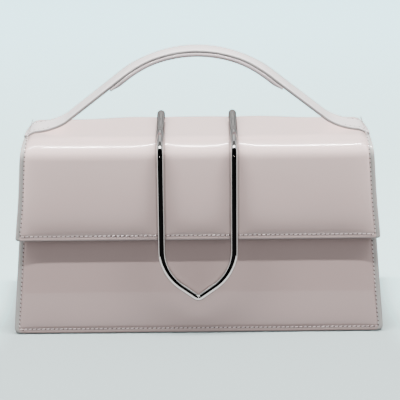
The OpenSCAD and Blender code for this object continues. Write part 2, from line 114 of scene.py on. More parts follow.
# Sizes that only the dressed model has, in millimetres
PANEL_FOOT = 0.5
WALL_RIM = 0.55
FLAP_RIM = 0.5
FLAP_CORNER_R = 2.0
FLAP_REAR_R = 4.6
FLAP_TAIL_Z = 111.0
FLAP_BACK_GAP = 1.75
FLAP_BACK_INSET = 1.2
BACK_SEAM_TOP = 108.0
END_ROLL = 1.3
END_SINK = 3.0
CORNER_SINK = 2.0
REAR_SINK = 2.1
REAR_END_SINK = 1.6
RING_REAR_RISE = 1.7
RING_REAR_SET = 0.6
RING_SUNK = 1.2
STRAP_LANDING = 2.2
STRAP_SAG = 1.7
STRAP_SAG_X = 77.0
STRAP_SAG_SPREAD = 15.0
STRAP_DOME = 0.55
STRAP_DOME_END = (58.0, 72.0)
GRIP_LEG = 12.0
LOOP_LEG = 3.5
LOOP_BEND_R = 1.3
TAB_FOOT = -15.4
TAB_LAYER = 0.42

# Distance of a stitch line from its edge, and the forms of the edge, the seam and the padding beside it
STITCH_IN = 2.7
RIM_ROUND = 0.22
RIM_RUN = 0.8
GROOVE = 0.16
GROOVE_RUN = 0.65
PILLOW_RUN = 4.5

# Padding of the flap: the dent beside a bar of the ring, and over what distances the padding rises and fades
BAR_DENT = 8.0
FOOT_RUN = 8.0
END_RUN = 6.0
FADE_RUN = 5.5
# Shares of that padding: what it has low on the front, and what turns away just before the shoulder
LOW_SHARE = 0.66
TURN_SHARE = 0.21
TURN_RUN = 3.0

# Beads of thread and needle holes: radius and flatness, and the length of a hole
BEAD = (0.3, 0.75)
HOLE = (0.9, 0.44, 0.3)
# Stitches of the strap's flat ends: how far they run up it, and their distance from its end and its sides
END_SEAM_RUN = 17.0
END_SEAM_IN = 2.6
END_SEAM_SIDE = 2.4

LEAN = math.atan((BASE_DEPTH - MOUTH_DEPTH) / 2 / BODY_H)
COS = math.cos(LEAN)
SIN = math.sin(LEAN)
SLANT = BODY_H / COS
FRONT_SLANT = SLANT - MOUTH_DROP / COS
FLAP_T = FLAP_LEATHER_T + SEAM + FLAP_BOARD_T + SEAM + LINING_T
FLAP_TOP = BODY_H + FLAP_GAP + FLAP_T
FLAP_BOTTOM = FLAP_TOP - FLAP_DROP
INNER_SKIN = LEATHER_T + SEAM
BOARD_BACK = INNER_SKIN + BOARD_T
LINING_FACE = BOARD_BACK + SEAM
GUSSET_TOP = BODY_H - MOUTH_DROP - 0.4
GUSSET_INNER = SEAM_MARGIN + GUSSET_T
ROD_R = ROD_D / 2
BASE_TOP = LEATHER_T + 2 * SEAM + BOARD_T + LINING_T
HINGE_Y = MOUTH_DEPTH / 2 - FLAP_T / 2


def half_width(slope):
    """Half the width of the body at a distance up the leaning front."""
    return BODY_W / 2 - (BODY_W - MOUTH_W) / 2 * slope / SLANT


def on_front(x, depth, slope):
    """Points of the leaning front: depth goes into the bag, slope goes up it."""
    x, depth, slope = np.broadcast_arrays(x, depth, slope)
    return np.stack([x, -BASE_DEPTH / 2 + depth * COS + slope * SIN, slope * COS - depth * SIN], -1)


def on_back(x, depth, slope):
    points = on_front(x, depth, slope)
    points[..., 1] *= -1
    return points


def smooth(value, low, high):
    t = np.clip((np.asarray(value, float) - low) / (high - low), 0, 1)
    return t * t * (3 - 2 * t)


# Distances from an edge at which a leather sheet has its rows of points
EDGE_ROWS = np.array([0, 0.2, 0.5, 0.9, 1.4, 1.9, 2.3, 2.7, 3.1, 3.6, 4.3, 5.3, 6.8, 8.8])


def spread(low, high, count):
    """Positions between two edges, close together near both of them."""
    inner = np.linspace(low + EDGE_ROWS[-1], high - EDGE_ROWS[-1], count)
    return np.concatenate([low + EDGE_ROWS[:-1], inner, high - EDGE_ROWS[-2::-1]])


def rows(length, coarse):
    return spread(0, length, max(2, int(length / coarse)))


def columns(half, count):
    return spread(-half, half, count)


def bunched(count):
    """Shares from -1 to 1, close together near both ends."""
    return np.sin(np.linspace(-math.pi / 2, math.pi / 2, count))


# Distances from an end at which the strap and the grip have their last rows
END_STEPS = np.array([4, 3, 2.2, 1.5, 0.9, 0.4, 0.0])


def run_out(end, count, steps, rim):
    """Distances along a strap up to its end, with the given steps before its rim."""
    return np.concatenate([np.linspace(0, end - steps[0], count), end - steps[1:] - rim])


def pillow(d, run=PILLOW_RUN):
    """How far the padding has risen at a distance from the edge, from 0 to 1."""
    return 1 - np.exp(-np.clip(d - STITCH_IN, 0, None) / run)


def seam_dip(d):
    """Rounded rim and the groove that the stitches pull in, in millimetres."""
    rim = RIM_ROUND * np.clip(1 - d / RIM_RUN, 0, 1) ** 2
    return rim + GROOVE * np.exp(-(((d - STITCH_IN) / GROOVE_RUN) ** 2))


class Path:
    """A flat line with rounded corners, read by the distance along it."""

    def __init__(self, points, radii):
        points = [np.array(p, float) for p in points]
        line = [points[0]]
        for i in range(1, len(points) - 1):
            a = points[i - 1] - points[i]
            b = points[i + 1] - points[i]
            a /= np.linalg.norm(a)
            b /= np.linalg.norm(b)
            radius = radii[i - 1]
            half = math.acos(float(np.clip(a @ b, -1, 1))) / 2
            if radius <= 0 or half > math.pi / 2 - 1e-4:
                line.append(points[i])
                continue
            centre = points[i] + (a + b) / np.linalg.norm(a + b) * radius / math.sin(half)
            start = points[i] + a * radius / math.tan(half) - centre
            turn = math.pi - 2 * half
            sign = 1 if a[0] * b[1] - a[1] * b[0] < 0 else -1
            count = max(4, int(math.degrees(turn)))
            for k in range(count + 1):
                angle = sign * turn * k / count
                c, s = math.cos(angle), math.sin(angle)
                line.append(centre + np.array([start[0] * c - start[1] * s, start[0] * s + start[1] * c]))
        line.append(points[-1])
        self.line = np.array(line)
        gaps = np.linalg.norm(np.diff(self.line, axis=0), axis=1)
        keep = np.concatenate([[True], gaps > 1e-9])
        self.line = self.line[keep]
        self.reach = np.concatenate([[0], np.cumsum(np.linalg.norm(np.diff(self.line, axis=0), axis=1))])
        self.length = float(self.reach[-1])

    def at(self, s):
        return np.stack([np.interp(s, self.reach, self.line[:, k]) for k in (0, 1)], -1)

    def normal(self, s):
        """The direction to the left of the line."""
        s = np.asarray(s)
        ahead = self.at(np.clip(s + 0.05, 0, self.length)) - self.at(np.clip(s - 0.05, 0, self.length))
        ahead = ahead / np.linalg.norm(ahead, axis=-1, keepdims=True)
        return np.stack([-ahead[..., 1], ahead[..., 0]], -1)


def raw_mesh(name, points, edges, faces, materials=()):
    """A smooth mesh from points in millimetres."""
    mesh = bpy.data.meshes.new(name)
    mesh.from_pydata((np.asarray(points, float) * MM).tolist(), edges, [tuple(f) for f in faces])
    mesh.polygons.foreach_set("use_smooth", np.ones(len(mesh.polygons), bool))
    for material in materials:
        mesh.materials.append(material)
    return mesh


def add_object(name, data):
    """A new object in the scene for a mesh, a lamp or a camera."""
    thing = bpy.data.objects.new(name, data)
    bpy.context.scene.collection.objects.link(thing)
    return thing


def settle(thing, body, slot, *nodes):
    """Says which body a piece moves with and which CAD nodes it stands for, which are hidden. Its slot is not
    used.
    """
    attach(thing, body)
    if nodes:
        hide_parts(*nodes)


def box_mm(node):
    """Lowest and highest corner of a CAD node, in millimetres."""
    return [np.array(corner) * 1000 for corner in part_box(node)]


SIDES = (("right", 1), ("left", -1))


def mirrored(points, sign=-1):
    """A copy of the points, on the left for sign -1 and as they are for sign 1."""
    points = points.copy()
    points[..., 0] *= sign
    return points


def make_piece(name, points, faces, materials, indices=None, uv=None, sharp=None):
    """A finished piece: its place is in its mesh, in metres, and its object sits at the origin."""
    mesh = raw_mesh(name, points, [], faces, materials)
    if indices is not None:
        mesh.polygons.foreach_set("material_index", np.asarray(indices, np.int32))
    if uv is not None:
        layer = mesh.uv_layers.new(name="UVMap")
        loops = np.zeros(len(mesh.loops), np.int32)
        mesh.loops.foreach_get("vertex_index", loops)
        layer.data.foreach_set("uv", (np.asarray(uv, float)[loops] * MM).astype(np.float32).ravel())
    work = bmesh.new()
    work.from_mesh(mesh)
    bmesh.ops.recalc_face_normals(work, faces=work.faces)
    work.to_mesh(mesh)
    work.free()
    if sharp is not None:
        mesh.set_sharp_from_angle(angle=sharp)
    mesh.validate()
    mesh.update()
    return add_object(name, mesh)


def sheet(name, outer, inner, edge, materials, flat_ends=(), around=6, uv=None, sharp=None, strip=0):
    """A sheet between two grids of points, with a rounded rim in the second material.

    The sides in flat_ends keep a flat rim. The outer columns, as many as strip says, have the third material.
    """
    r, c = outer.shape[:2]
    number = np.arange(r * c).reshape(r, c)
    loop = np.concatenate([number[0, :], number[1:, -1], number[-1, -2::-1], number[-2:0:-1, 0]])
    side = np.concatenate([np.full(c, 0), np.full(r - 1, 1), np.full(c - 1, 2), np.full(r - 2, 3)])
    top = outer.reshape(-1, 3)
    low = inner.reshape(-1, 3)
    middle = (top[loop] + low[loop]) / 2
    half = (top[loop] - low[loop]) / 2
    along = np.roll(middle, -1, 0) - np.roll(middle, 1, 0)
    out = np.cross(along, half)
    out /= np.linalg.norm(out, axis=1, keepdims=True) + 1e-12
    centre = (top.mean(0) + low.mean(0)) / 2
    if np.mean(np.sum(out * (middle - centre), 1)) < 0:
        out = -out
    reach = np.full(len(loop), float(edge))
    for end in flat_ends:
        reach[side == end] = 0
    points = [top, low]
    rings = [loop]
    start = 2 * r * c
    for k in range(1, around):
        angle = math.pi * k / around
        points.append(middle + half * math.cos(angle) + out * (reach * math.sin(angle))[:, None])
        rings.append(np.arange(len(loop)) + start)
        start += len(loop)
    rings.append(loop + r * c)
    faces = []
    indices = []
    for i in range(r - 1):
        for j in range(c - 1):
            a, b, d, e = number[i, j], number[i, j + 1], number[i + 1, j + 1], number[i + 1, j]
            faces.append((a, b, d, e))
            faces.append((a + r * c, e + r * c, d + r * c, b + r * c))
            turned = j < strip or j >= c - 1 - strip
            indices += [2 if turned else 0, 0]
    n = len(loop)
    for ring, following in zip(rings[:-1], rings[1:]):
        for i in range(n):
            j = (i + 1) % n
            faces.append((ring[i], following[i], following[j], ring[j]))
            indices.append(min(1, len(materials) - 1))
    flat = None
    if uv is not None:
        grid = uv.reshape(-1, 2)
        flat = np.concatenate([grid, grid] + [grid[loop]] * (around - 1))
    return make_piece(name, np.concatenate(points), faces, materials, indices, flat, sharp)


def tube(name, path, radius, material, sides=32, closed=False):
    """A round rod along a line of points, with its ends closed."""
    path = np.asarray(path, float)
    n = len(path)
    if closed:
        ahead = np.roll(path, -1, 0) - np.roll(path, 1, 0)
    else:
        ahead = np.gradient(path, axis=0)
    ahead /= np.linalg.norm(ahead, axis=1, keepdims=True)
    normal = np.cross(ahead[0], [1.0, 0.3, 0.2])
    normal /= np.linalg.norm(normal)
    normals = [normal]
    for i in range(1, n):
        normal = normals[-1] - ahead[i] * (normals[-1] @ ahead[i])
        normals.append(normal / np.linalg.norm(normal))
    normals = np.array(normals)
    binormals = np.cross(ahead, normals)
    if closed:
        last = normals[-1] - ahead[0] * (normals[-1] @ ahead[0])
        twist = math.atan2(last @ binormals[0], last @ normals[0])
        for i in range(n):
            a = -twist * i / n
            u = normals[i] * math.cos(a) + binormals[i] * math.sin(a)
            binormals[i] = np.cross(ahead[i], u)
            normals[i] = u
    angles = np.linspace(0, 2 * math.pi, sides, endpoint=False)
    circle = normals[:, None] * np.cos(angles)[:, None] + binormals[:, None] * np.sin(angles)[:, None]
    points = (path[:, None] + circle * radius).reshape(-1, 3)
    faces = []
    for i in range(n if closed else n - 1):
        a = i * sides
        b = (i + 1) % n * sides
        for k in range(sides):
            m = (k + 1) % sides
            faces.append((a + k, a + m, b + m, b + k))
    if not closed:
        faces.append(tuple(range(sides)))
        faces.append(tuple(range((n - 1) * sides, n * sides)))
    return make_piece(name, points, faces, [material], sharp=math.radians(50))


# Nodes of materials and of the stitches
def feed(tree, socket, value):
    """Links another node's output into a socket, or sets the socket to a plain value."""
    value = getattr(value, "socket", value)
    if isinstance(value, bpy.types.NodeSocket):
        tree.links.new(value, socket)
    else:
        socket.default_value = value


def add_node(tree, kind, settings=None, inputs=None):
    node = tree.nodes.new(kind)
    for key, value in (settings or {}).items():
        setattr(node, key, value)
    for key, value in (inputs or {}).items():
        feed(tree, node.inputs[key], value)
    return node


class Value:
    """Wraps a socket so that shader maths reads as an expression."""

    def __init__(self, tree, socket):
        self.tree = tree
        self.socket = socket

    def maths(self, operation, *items):
        node = add_node(self.tree, "ShaderNodeMath", {"operation": operation}, dict(enumerate(items)))
        return Value(self.tree, node.outputs[0])

    def __add__(self, other):
        return self.maths("ADD", self, other)

    def __radd__(self, other):
        return self.maths("ADD", other, self)

    def __sub__(self, other):
        return self.maths("SUBTRACT", self, other)

    def __mul__(self, other):
        return self.maths("MULTIPLY", self, other)

    def __abs__(self):
        return self.maths("ABSOLUTE", self)

    def sine(self):
        return self.maths("SINE", self)

    def power(self, other):
        return self.maths("POWER", self, other)

    def larger(self, other):
        return self.maths("MAXIMUM", self, other)


class Shader:
    """One material: nodes are added by type, settings and inputs."""

    def __init__(self, name):
        self.material = bpy.data.materials.new(name)
        self.material.use_nodes = True
        self.tree = self.material.node_tree
        self.tree.nodes.clear()
        self.output = self.tree.nodes.new("ShaderNodeOutputMaterial")
        self.surface = self.tree.nodes.new("ShaderNodeBsdfPrincipled")
        self.tree.links.new(self.surface.outputs[0], self.output.inputs["Surface"])

    def node(self, kind, settings=None, inputs=None, output=0):
        return Value(self.tree, add_node(self.tree, kind, settings, inputs).outputs[output])

    def place(self, scale=(1, 1, 1), source="Object"):
        coordinates = self.node("ShaderNodeTexCoord", output=source)
        return self.node("ShaderNodeMapping", inputs={"Vector": coordinates, "Scale": scale})

    def noise(self, vector, scale, detail=2.0, roughness=0.5):
        return self.node(
            "ShaderNodeTexNoise",
            inputs={"Vector": vector, "Scale": scale, "Detail": detail, "Roughness": roughness},
        )

    def mix(self, share, first, second):
        return self.node("ShaderNodeMix", {"data_type": "RGBA"}, {0: share, 6: first, 7: second}, 2)

    def split(self, vector):
        parts = add_node(self.tree, "ShaderNodeSeparateXYZ", inputs={0: vector})
        return [Value(self.tree, part) for part in parts.outputs]

    def ramp(self, value, low, high):
        return self.node(
            "ShaderNodeMapRange",
            {"interpolation_type": "SMOOTHSTEP"},
            {"Value": value, "From Min": low, "From Max": high},
        )

    def bump(self, height, strength, distance, below=None):
        inputs = {"Height": height, "Strength": strength, "Distance": distance}
        if below is not None:
            inputs["Normal"] = below
        return self.node("ShaderNodeBump", inputs=inputs)

    def finish(self, **inputs):
        names = {
            "color": "Base Color",
            "roughness": "Roughness",
            "metallic": "Metallic",
            "coat": "Coat Weight",
            "coat_roughness": "Coat Roughness",
            "normal": "Normal",
            "ior": "IOR",
            "specular": "Specular IOR Level",
            "sheen": "Sheen Weight",
            "emission": "Emission Color",
            "glow": "Emission Strength",
            "edge_tint": "Specular Tint",
        }
        for key, value in inputs.items():
            feed(self.tree, self.surface.inputs[names[key]], value)
        return self.material


BLACK = (0.0, 0.0, 0.0, 1.0)


def shade(color, factor):
    return tuple(min(1.0, c * factor) for c in color[:3]) + (1.0,)


def glossy_leather(name, color, roughness, grain=1.0, painted_shading=None, bars=None):
    """Glossy leather; where heights and bars are given, both in metres, it has the flap's painted light and
    shade.

    The heights are those between which painted light turns the flap's front paler upwards,
    and the one above which painted shade darkens its top.
    bars is how far from the middle the ring's bars lie, with a painted shadow line beside each of them.
    """
    s = Shader(name)
    place = s.place()
    cloud = s.noise(place, 14.0, 3.0)
    fine = s.noise(place, 900.0, 3.0, 0.6)
    pores = s.noise(place, 2600.0, 2.0, 0.5)
    waves = s.noise(place, 38.0, 1.0)
    tone = s.mix(cloud * 0.7 + fine * 0.3, shade(color, 0.955), shade(color, 1.03))
    # Painted light and shade of the flap: front paler upwards, top darker, a painted shadow by each bar
    if painted_shading is not None:
        x, y, z = s.split(place)
        low, high, top = painted_shading
        # Painted light: the front is paler high up and a little darker low down
        painted_light = s.mix(0.55, tone, shade(color, 1.3))
        # Painted shade for the flap's top
        painted_top_shade = s.mix(0.08, tone, BLACK)
        tone = s.mix(s.ramp(z, low, high), s.mix(0.04, tone, BLACK), painted_light)
        tone = s.mix(s.ramp(z, top - 0.006, top), tone, painted_top_shade)
        # Painted contact shadow: a dark line beside each bar of the ring, fading out over the top
        bar_shadow_reach = abs(abs(x) - bars) + s.ramp(y, 0.010, 0.020) * 0.01
        tone = s.mix(s.ramp(bar_shadow_reach, 0.0022, 0.0038), s.mix(0.55, tone, (0.02, 0.01, 0.01, 1.0)), tone)
    rough = roughness + (cloud - 0.5) * 0.06 + (fine - 0.5) * 0.05
    soft = s.bump(waves, 0.35, 0.00035)
    normal = s.bump(fine * 0.6 + pores * 0.4, 0.10 * grain, 0.00008, soft)
    return s.finish(
        color=tone, roughness=rough, coat=1.0, coat_roughness=0.04, normal=normal, specular=0.3
    )


def matt_leather(name, color):
    s = Shader(name)
    place = s.place()
    cloud = s.noise(place, 30.0, 3.0)
    cells = s.node("ShaderNodeTexVoronoi", {"feature": "F1"}, {"Vector": place, "Scale": 1500.0})
    fine = s.noise(place, 2200.0, 2.0)
    tone = s.mix(cloud * 0.6 + cells * 0.5, shade(color, 1.03), shade(color, 0.93))
    normal = s.bump(cells + fine * 0.4, 0.35, 0.0001)
    return s.finish(color=tone, roughness=0.5 + cloud * 0.1, normal=normal)


def edge_paint(name, color):
    s = Shader(name)
    place = s.place()
    cloud = s.noise(place, 60.0, 3.0)
    fine = s.noise(place, 700.0, 3.0)
    tone = s.mix(cloud * 0.5 + fine * 0.5, shade(color, 0.9), shade(color, 1.06))
    normal = s.bump(fine + cloud, 0.3, 0.00012)
    return s.finish(color=tone, roughness=0.34 + fine * 0.12, coat=0.2, coat_roughness=0.25, normal=normal)


def twill(name, color):
    s = Shader(name)
    place = s.place((2300.0, 2300.0, 2300.0), "UV")
    u, v = s.split(place)[:2]
    ribs = (u + v).sine() * 0.5 + 0.5
    yarn = ((u - v) * 2.0).sine() * 0.5 + 0.5
    cloud = s.noise(s.place(), 40.0, 3.0)
    lint = s.noise(s.place(), 3000.0, 2.0)
    weave = ribs * 0.7 + yarn * 0.3
    tone = s.mix(weave * 0.6 + cloud * 0.4, shade(color, 0.86), shade(color, 1.07))
    normal = s.bump(weave + lint * 0.3, 0.5, 0.00012)
    return s.finish(color=tone, roughness=0.78 + lint * 0.1, normal=normal, sheen=0.25)


def thread(name, color):
    s = Shader(name)
    place = s.place()
    twist = s.node(
        "ShaderNodeTexWave",
        {"wave_type": "BANDS", "bands_direction": "DIAGONAL"},
        {"Vector": place, "Scale": 900.0, "Distortion": 1.0},
    )
    fuzz = s.noise(place, 5000.0)
    tone = s.mix(twist * 0.5 + fuzz * 0.5, shade(color, 0.86), shade(color, 1.08))
    return s.finish(color=tone, roughness=0.6, normal=s.bump(twist, 0.4, 0.00005), sheen=0.3)


def needle_hole(name, color):
    s = Shader(name)
    fine = s.noise(s.place(), 2500.0)
    return s.finish(color=s.mix(fine, shade(color, 0.8), shade(color, 1.2)), roughness=0.8)


def polished_metal(name, color, roughness):
    s = Shader(name)
    place = s.place((1.0, 1.0, 0.25))
    scratches = s.noise(place, 1800.0, 3.0, 0.7)
    cloud = s.noise(place, 50.0, 2.0)
    rough = roughness + scratches.power(3.0) * 0.05 + cloud * 0.015
    tone = s.mix(cloud, shade(color, 0.97), shade(color, 1.02))
    normal = s.bump(scratches, 0.03, 0.00001)
    # Painted shade: a dark edge tint darkens the metal's rims, where they mirror shaded leather
    return s.finish(
        color=tone, roughness=rough, metallic=1.0, normal=normal, edge_tint=(0.12, 0.11, 0.11, 1.0)
    )


def fibre_board(name, color):
    s = Shader(name)
    place = s.place((1.0, 1.0, 3.0))
    fibres = s.noise(place, 500.0, 5.0, 0.7)
    specks = s.node("ShaderNodeTexVoronoi", {"feature": "F1"}, {"Vector": place, "Scale": 900.0})
    tone = s.mix(fibres * 0.7 + specks * 0.4, shade(color, 0.75), shade(color, 1.15))
    return s.finish(color=tone, roughness=0.85, normal=s.bump(fibres, 0.6, 0.0002))


def floor_finish(name, color):
    """A floor that glows a little, as painted light: least at the bag, where the missing glow paints its
    shadow, and most at the back, as bright as in the photo.
    """
    s = Shader(name)
    place = s.place()
    cloud = s.noise(place, 3.0, 2.0)
    fine = s.noise(place, 400.0, 2.0)
    tone = s.mix(cloud * 0.7 + fine * 0.3, shade(color, 0.985), shade(color, 1.01))
    across, back = s.split(place)[:2]
    # Painted shadow: no glow under the bag and just in front of it
    clear = s.ramp(abs(across), 0.119, 0.140).larger(s.ramp(back, 0.035, 0.060))
    painted_floor_light = s.mix(clear * s.ramp(back, -0.075, 0.015), BLACK, (0.90, 1.50, 1.50, 1.0))
    # Painted light: the glow grows towards the back
    painted_floor_light = s.mix(s.ramp(back, 0.20, 0.85), painted_floor_light, (1.42, 2.65, 2.95, 1.0))
    return s.finish(color=tone, roughness=0.7, specular=0.1, emission=painted_floor_light, glow=1.0)


def card_finish(name, level):
    s = Shader(name)
    cloud = s.noise(s.place(), 8.0)
    tone = s.mix(cloud, (0.0010, 0.0010, 0.0011, 1.0), (0.0020, 0.0020, 0.0021, 1.0))
    return s.finish(color=tone, roughness=1.0, specular=0.0, emission=(1.0, 1.0, 1.0, 1.0), glow=level)


FINISHES = {}


def finish(name):
    """The material of one finish, made once from the colours in the panel."""
    if name in FINISHES:
        return FINISHES[name]
    c = bpy.context.scene.handbag_colours
    makers = {
        # The body's leather is the same leather as the flap's, given a darker colour as painted shade
        "body_leather": (glossy_leather, "body_leather", c.body_leather, 0.30),
        # The flap's leather, with painted light up its front, painted shade on its top and painted shadows by
        # the bars
        "flap_leather": (
            glossy_leather, "flap_leather", c.flap_leather, 0.30, 1.0, (0.074, 0.106, 0.129),
            RING_SPACING / 2 * MM,
        ),
        "grip_leather": (glossy_leather, "grip_leather", c.grip_leather, 0.36),
        "handle_leather": (glossy_leather, "handle_leather", c.handle_leather, 0.34),
        # A greyer leather for the strips outside the seams at the sides
        "turned_edge": (glossy_leather, "turned_edge", c.turned_edge, 0.36),
        "gusset_leather": (glossy_leather, "gusset_leather", c.body_leather, 0.40, 2.0),
        "inner_leather": (matt_leather, "inner_leather", c.inner_leather),
        "edge_paint": (edge_paint, "edge_paint", c.edge_paint),
        # Dark edge paint, darker still as painted shadow under the strap and along the walls' foot
        "handle_edge": (edge_paint, "handle_edge", c.handle_edge),
        "lining": (twill, "lining_twill", c.lining),
        "thread": (thread, "pale_thread", c.thread),
        "hole": (needle_hole, "needle_hole", c.needle_hole),
        "metal": (polished_metal, "polished_nickel", c.metal, 0.045),
        "steel": (polished_metal, "plated_steel", shade(c.metal, 0.75), 0.25),
        "board": (fibre_board, "fibre_board", c.board),
    }
    make, *given = makers[name]
    FINISHES[name] = make(*given)
    return FINISHES[name]


def finishes(*names):
    return [finish(name) for name in names]


# Stitches
def stitch_shape(name, length, radius, squash, rings=5, sides=6):
    """A short bead of thread or a needle hole, lying along X, made once."""
    if name in bpy.data.objects:
        return bpy.data.objects[name]
    points = [(-length / 2, 0, 0)]
    for i in range(1, rings):
        a = math.pi * i / rings
        x = -length / 2 * math.cos(a)
        r = radius * math.sin(a) ** 0.6
        for k in range(sides):
            b = 2 * math.pi * k / sides
            points.append((x, r * math.cos(b), r * squash * math.sin(b)))
    points.append((length / 2, 0, 0))
    faces = []
    for k in range(sides):
        faces.append((0, 1 + (k + 1) % sides, 1 + k))
        for i in range(rings - 2):
            a = 1 + i * sides
            faces.append((a + k, a + (k + 1) % sides, a + sides + (k + 1) % sides, a + sides + k))
        a = 1 + (rings - 2) * sides
        faces.append((a + k, a + (k + 1) % sides, len(points) - 1))
    return bpy.data.objects.new(name, raw_mesh(name, points, [], faces))


def stitch_tree():
    """Geometry nodes: beads of thread and needle holes at an even pitch along seam lines."""
    tree = bpy.data.node_groups.new("stitch_run", "GeometryNodeTree")
    for label, kind in (
        ("Geometry", "NodeSocketGeometry"),
        ("Pitch", "NodeSocketFloat"),
        ("Slant", "NodeSocketFloat"),
        ("Thread bead", "NodeSocketObject"),
        ("Needle hole", "NodeSocketObject"),
        ("Thread finish", "NodeSocketMaterial"),
        ("Hole finish", "NodeSocketMaterial"),
    ):
        tree.interface.new_socket(label, in_out="INPUT", socket_type=kind)
    tree.interface.new_socket("Geometry", in_out="OUTPUT", socket_type="NodeSocketGeometry")

    def add(kind, inputs=None, output=0, **settings):
        return add_node(tree, kind, settings, inputs).outputs[output]

    given = add_node(tree, "NodeGroupInput").outputs
    curve = add("GeometryNodeMeshToCurve", {0: given["Geometry"]})
    points = add("GeometryNodeResampleCurve", {"Curve": curve, "Length": given["Pitch"]}, mode="LENGTH")
    up = add("GeometryNodeInputNamedAttribute", {"Name": "seam_up"}, data_type="FLOAT_VECTOR")
    tangent = add("GeometryNodeInputTangent")
    along = add("FunctionNodeAxesToRotation", {0: up, 1: tangent}, primary_axis="Z", secondary_axis="X")
    angle = add("FunctionNodeAxisAngleToRotation", {"Axis": (0, 0, 1), "Angle": given["Slant"]})
    slanted = add("FunctionNodeRotateRotation", {0: along, 1: angle}, rotation_space="LOCAL")
    half = add("ShaderNodeMath", {0: given["Pitch"], 1: 0.5}, operation="MULTIPLY")
    step = add("ShaderNodeVectorMath", {0: tangent, "Scale": half}, operation="SCALE")
    between = add("GeometryNodeSetPosition", {"Geometry": points, "Offset": step})
    join = add_node(tree, "GeometryNodeJoinGeometry")
    for places, turn, shape, skin in (
        (points, slanted, "Thread bead", "Thread finish"),
        (between, along, "Needle hole", "Hole finish"),
    ):
        bead = add("GeometryNodeObjectInfo", {"Object": given[shape]}, "Geometry")
        beads = add("GeometryNodeInstanceOnPoints", {"Points": places, "Instance": bead, "Rotation": turn})
        real = add("GeometryNodeRealizeInstances", {0: beads})
        painted = add("GeometryNodeSetMaterial", {"Geometry": real, "Material": given[skin]})
        tree.links.new(painted, join.inputs[0])
    add_node(tree, "NodeGroupOutput", inputs={0: join.outputs[0]})
    return tree


def stitches(name, lines):
    """Runs stitches along seam lines. Each line is points and surface normals, in millimetres."""
    sizes = bpy.context.scene.handbag_sizes
    points = []
    edges = []
    ups = []
    for line, normals in lines:
        start = len(points)
        points += [tuple(p) for p in line]
        ups += [tuple(n) for n in normals]
        edges += [(start + i, start + i + 1) for i in range(len(line) - 1)]
    mesh = raw_mesh(name + "_line", points, edges, [])
    up = mesh.attributes.new("seam_up", "FLOAT_VECTOR", "POINT")
    up.data.foreach_set("vector", np.asarray(ups, np.float32).ravel())
    guide = add_object(name + "_line", mesh)
    tree = bpy.data.node_groups.get("stitch_run") or stitch_tree()
    bead = stitch_shape("thread_bead_shape", sizes.stitch_length * 1000, *BEAD)
    hole = stitch_shape("needle_hole_shape", *HOLE)
    values = {
        "Pitch": sizes.stitch_pitch,
        "Slant": sizes.stitch_slant,
        "Thread bead": bead,
        "Needle hole": hole,
        "Thread finish": finish("thread"),
        "Hole finish": finish("hole"),
    }
    modifier = guide.modifiers.new("stitch_run", "NODES")
    modifier.node_group = tree
    for item in tree.interface.items_tree:
        if item.in_out == "INPUT" and item.name in values:
            modifier[item.identifier] = values[item.name]
    bpy.context.view_layer.update()
    graph = bpy.context.evaluated_depsgraph_get()
    result = bpy.data.meshes.new_from_object(guide.evaluated_get(graph))
    bpy.data.objects.remove(guide)
    result.name = name
    return add_object(name, result)


def paint_node(node, name):
    """Gives a carried-over CAD node a procedural finish."""
    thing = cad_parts[node]
    thing.data.materials.clear()
    thing.data.materials.append(finish(name))


# Leather panels of the body
def unpadded(x, *distances):
    """The relief of a face without padding."""
    return 0.0 * x


def corner_row(half, up, radius, count, limit=np.inf):
    """One row of a face with rounded lower corners: x, distance to the sides, distance to any edge."""
    narrow = half
    if up < radius:
        narrow += -radius + math.sqrt(radius ** 2 - (radius - up) ** 2)
    x = columns(narrow, count)
    side = half - np.abs(x)
    near = np.minimum(np.minimum(side, up), limit)
    in_corner = (side < radius) & (up < radius)
    near = np.where(in_corner, radius - np.hypot(radius - side, radius - up), near)
    return x, side, np.clip(near, 0, None)


def panel_grid(top, inset, depth, relief, place, count=60):
    """Grid of one face of a panel: its outline has rounded lower corners."""
    low = PANEL_FOOT + inset
    radius = max(CORNER_R - inset, 0.5)
    points = []
    for s in rows(top - inset - low, 4.0):
        slope = low + s
        half = half_width(slope) - inset
        x, side, near = corner_row(half, s, radius, count, top - inset - slope + 2.0)
        points.append(place(x, depth - relief(x, slope, near, side, s), slope))
    return np.array(points)


def wall(name, top, place, crown, hidden_from):
    """One of the two big panels: a leather sheet, crowned below hidden_from, with a rounded rim.
    The rim's dark colour is partly edge paint and partly painted shadow along the foot.
    """
    top_line = top - 0.1

    def relief(x, slope, near, side, up):
        share = 1 - smooth(slope, hidden_from - 8, hidden_from + 4)
        high = crown * (0.25 + 0.75 * share)
        return high * pillow(side) * pillow(up) - seam_dip(near)

    outer = panel_grid(top_line, WALL_RIM, 0.0, relief, place)
    inner = panel_grid(top_line, WALL_RIM, LEATHER_T, unpadded, place)
    # The rim's dark colour also paints the shadow line at the wall's foot
    skins = finishes("body_leather", "handle_edge", "turned_edge")
    # The outer columns, outside the side seams, are greyer
    return sheet(name, outer, inner, WALL_RIM, skins, strip=6)


def panel_seam(top, place, flip):
    """Stitch line down one side, along the foot and up the other side of a panel."""
    inset = STITCH_IN + WALL_RIM
    low = PANEL_FOOT + inset
    radius = max(CORNER_R - inset, 0.9)
    ends = [(half_width(slope) - inset, slope) for slope in (top, low)]
    path = Path([(-x, slope) for x, slope in ends] + ends[::-1], [radius, radius])
    s = np.linspace(0, path.length, int(path.length / 1.5))
    p = path.at(s)
    points = place(p[:, 0], -0.06, p[:, 1])
    normals = np.tile([0, -COS * flip, SIN], (len(s), 1))
    return points, normals


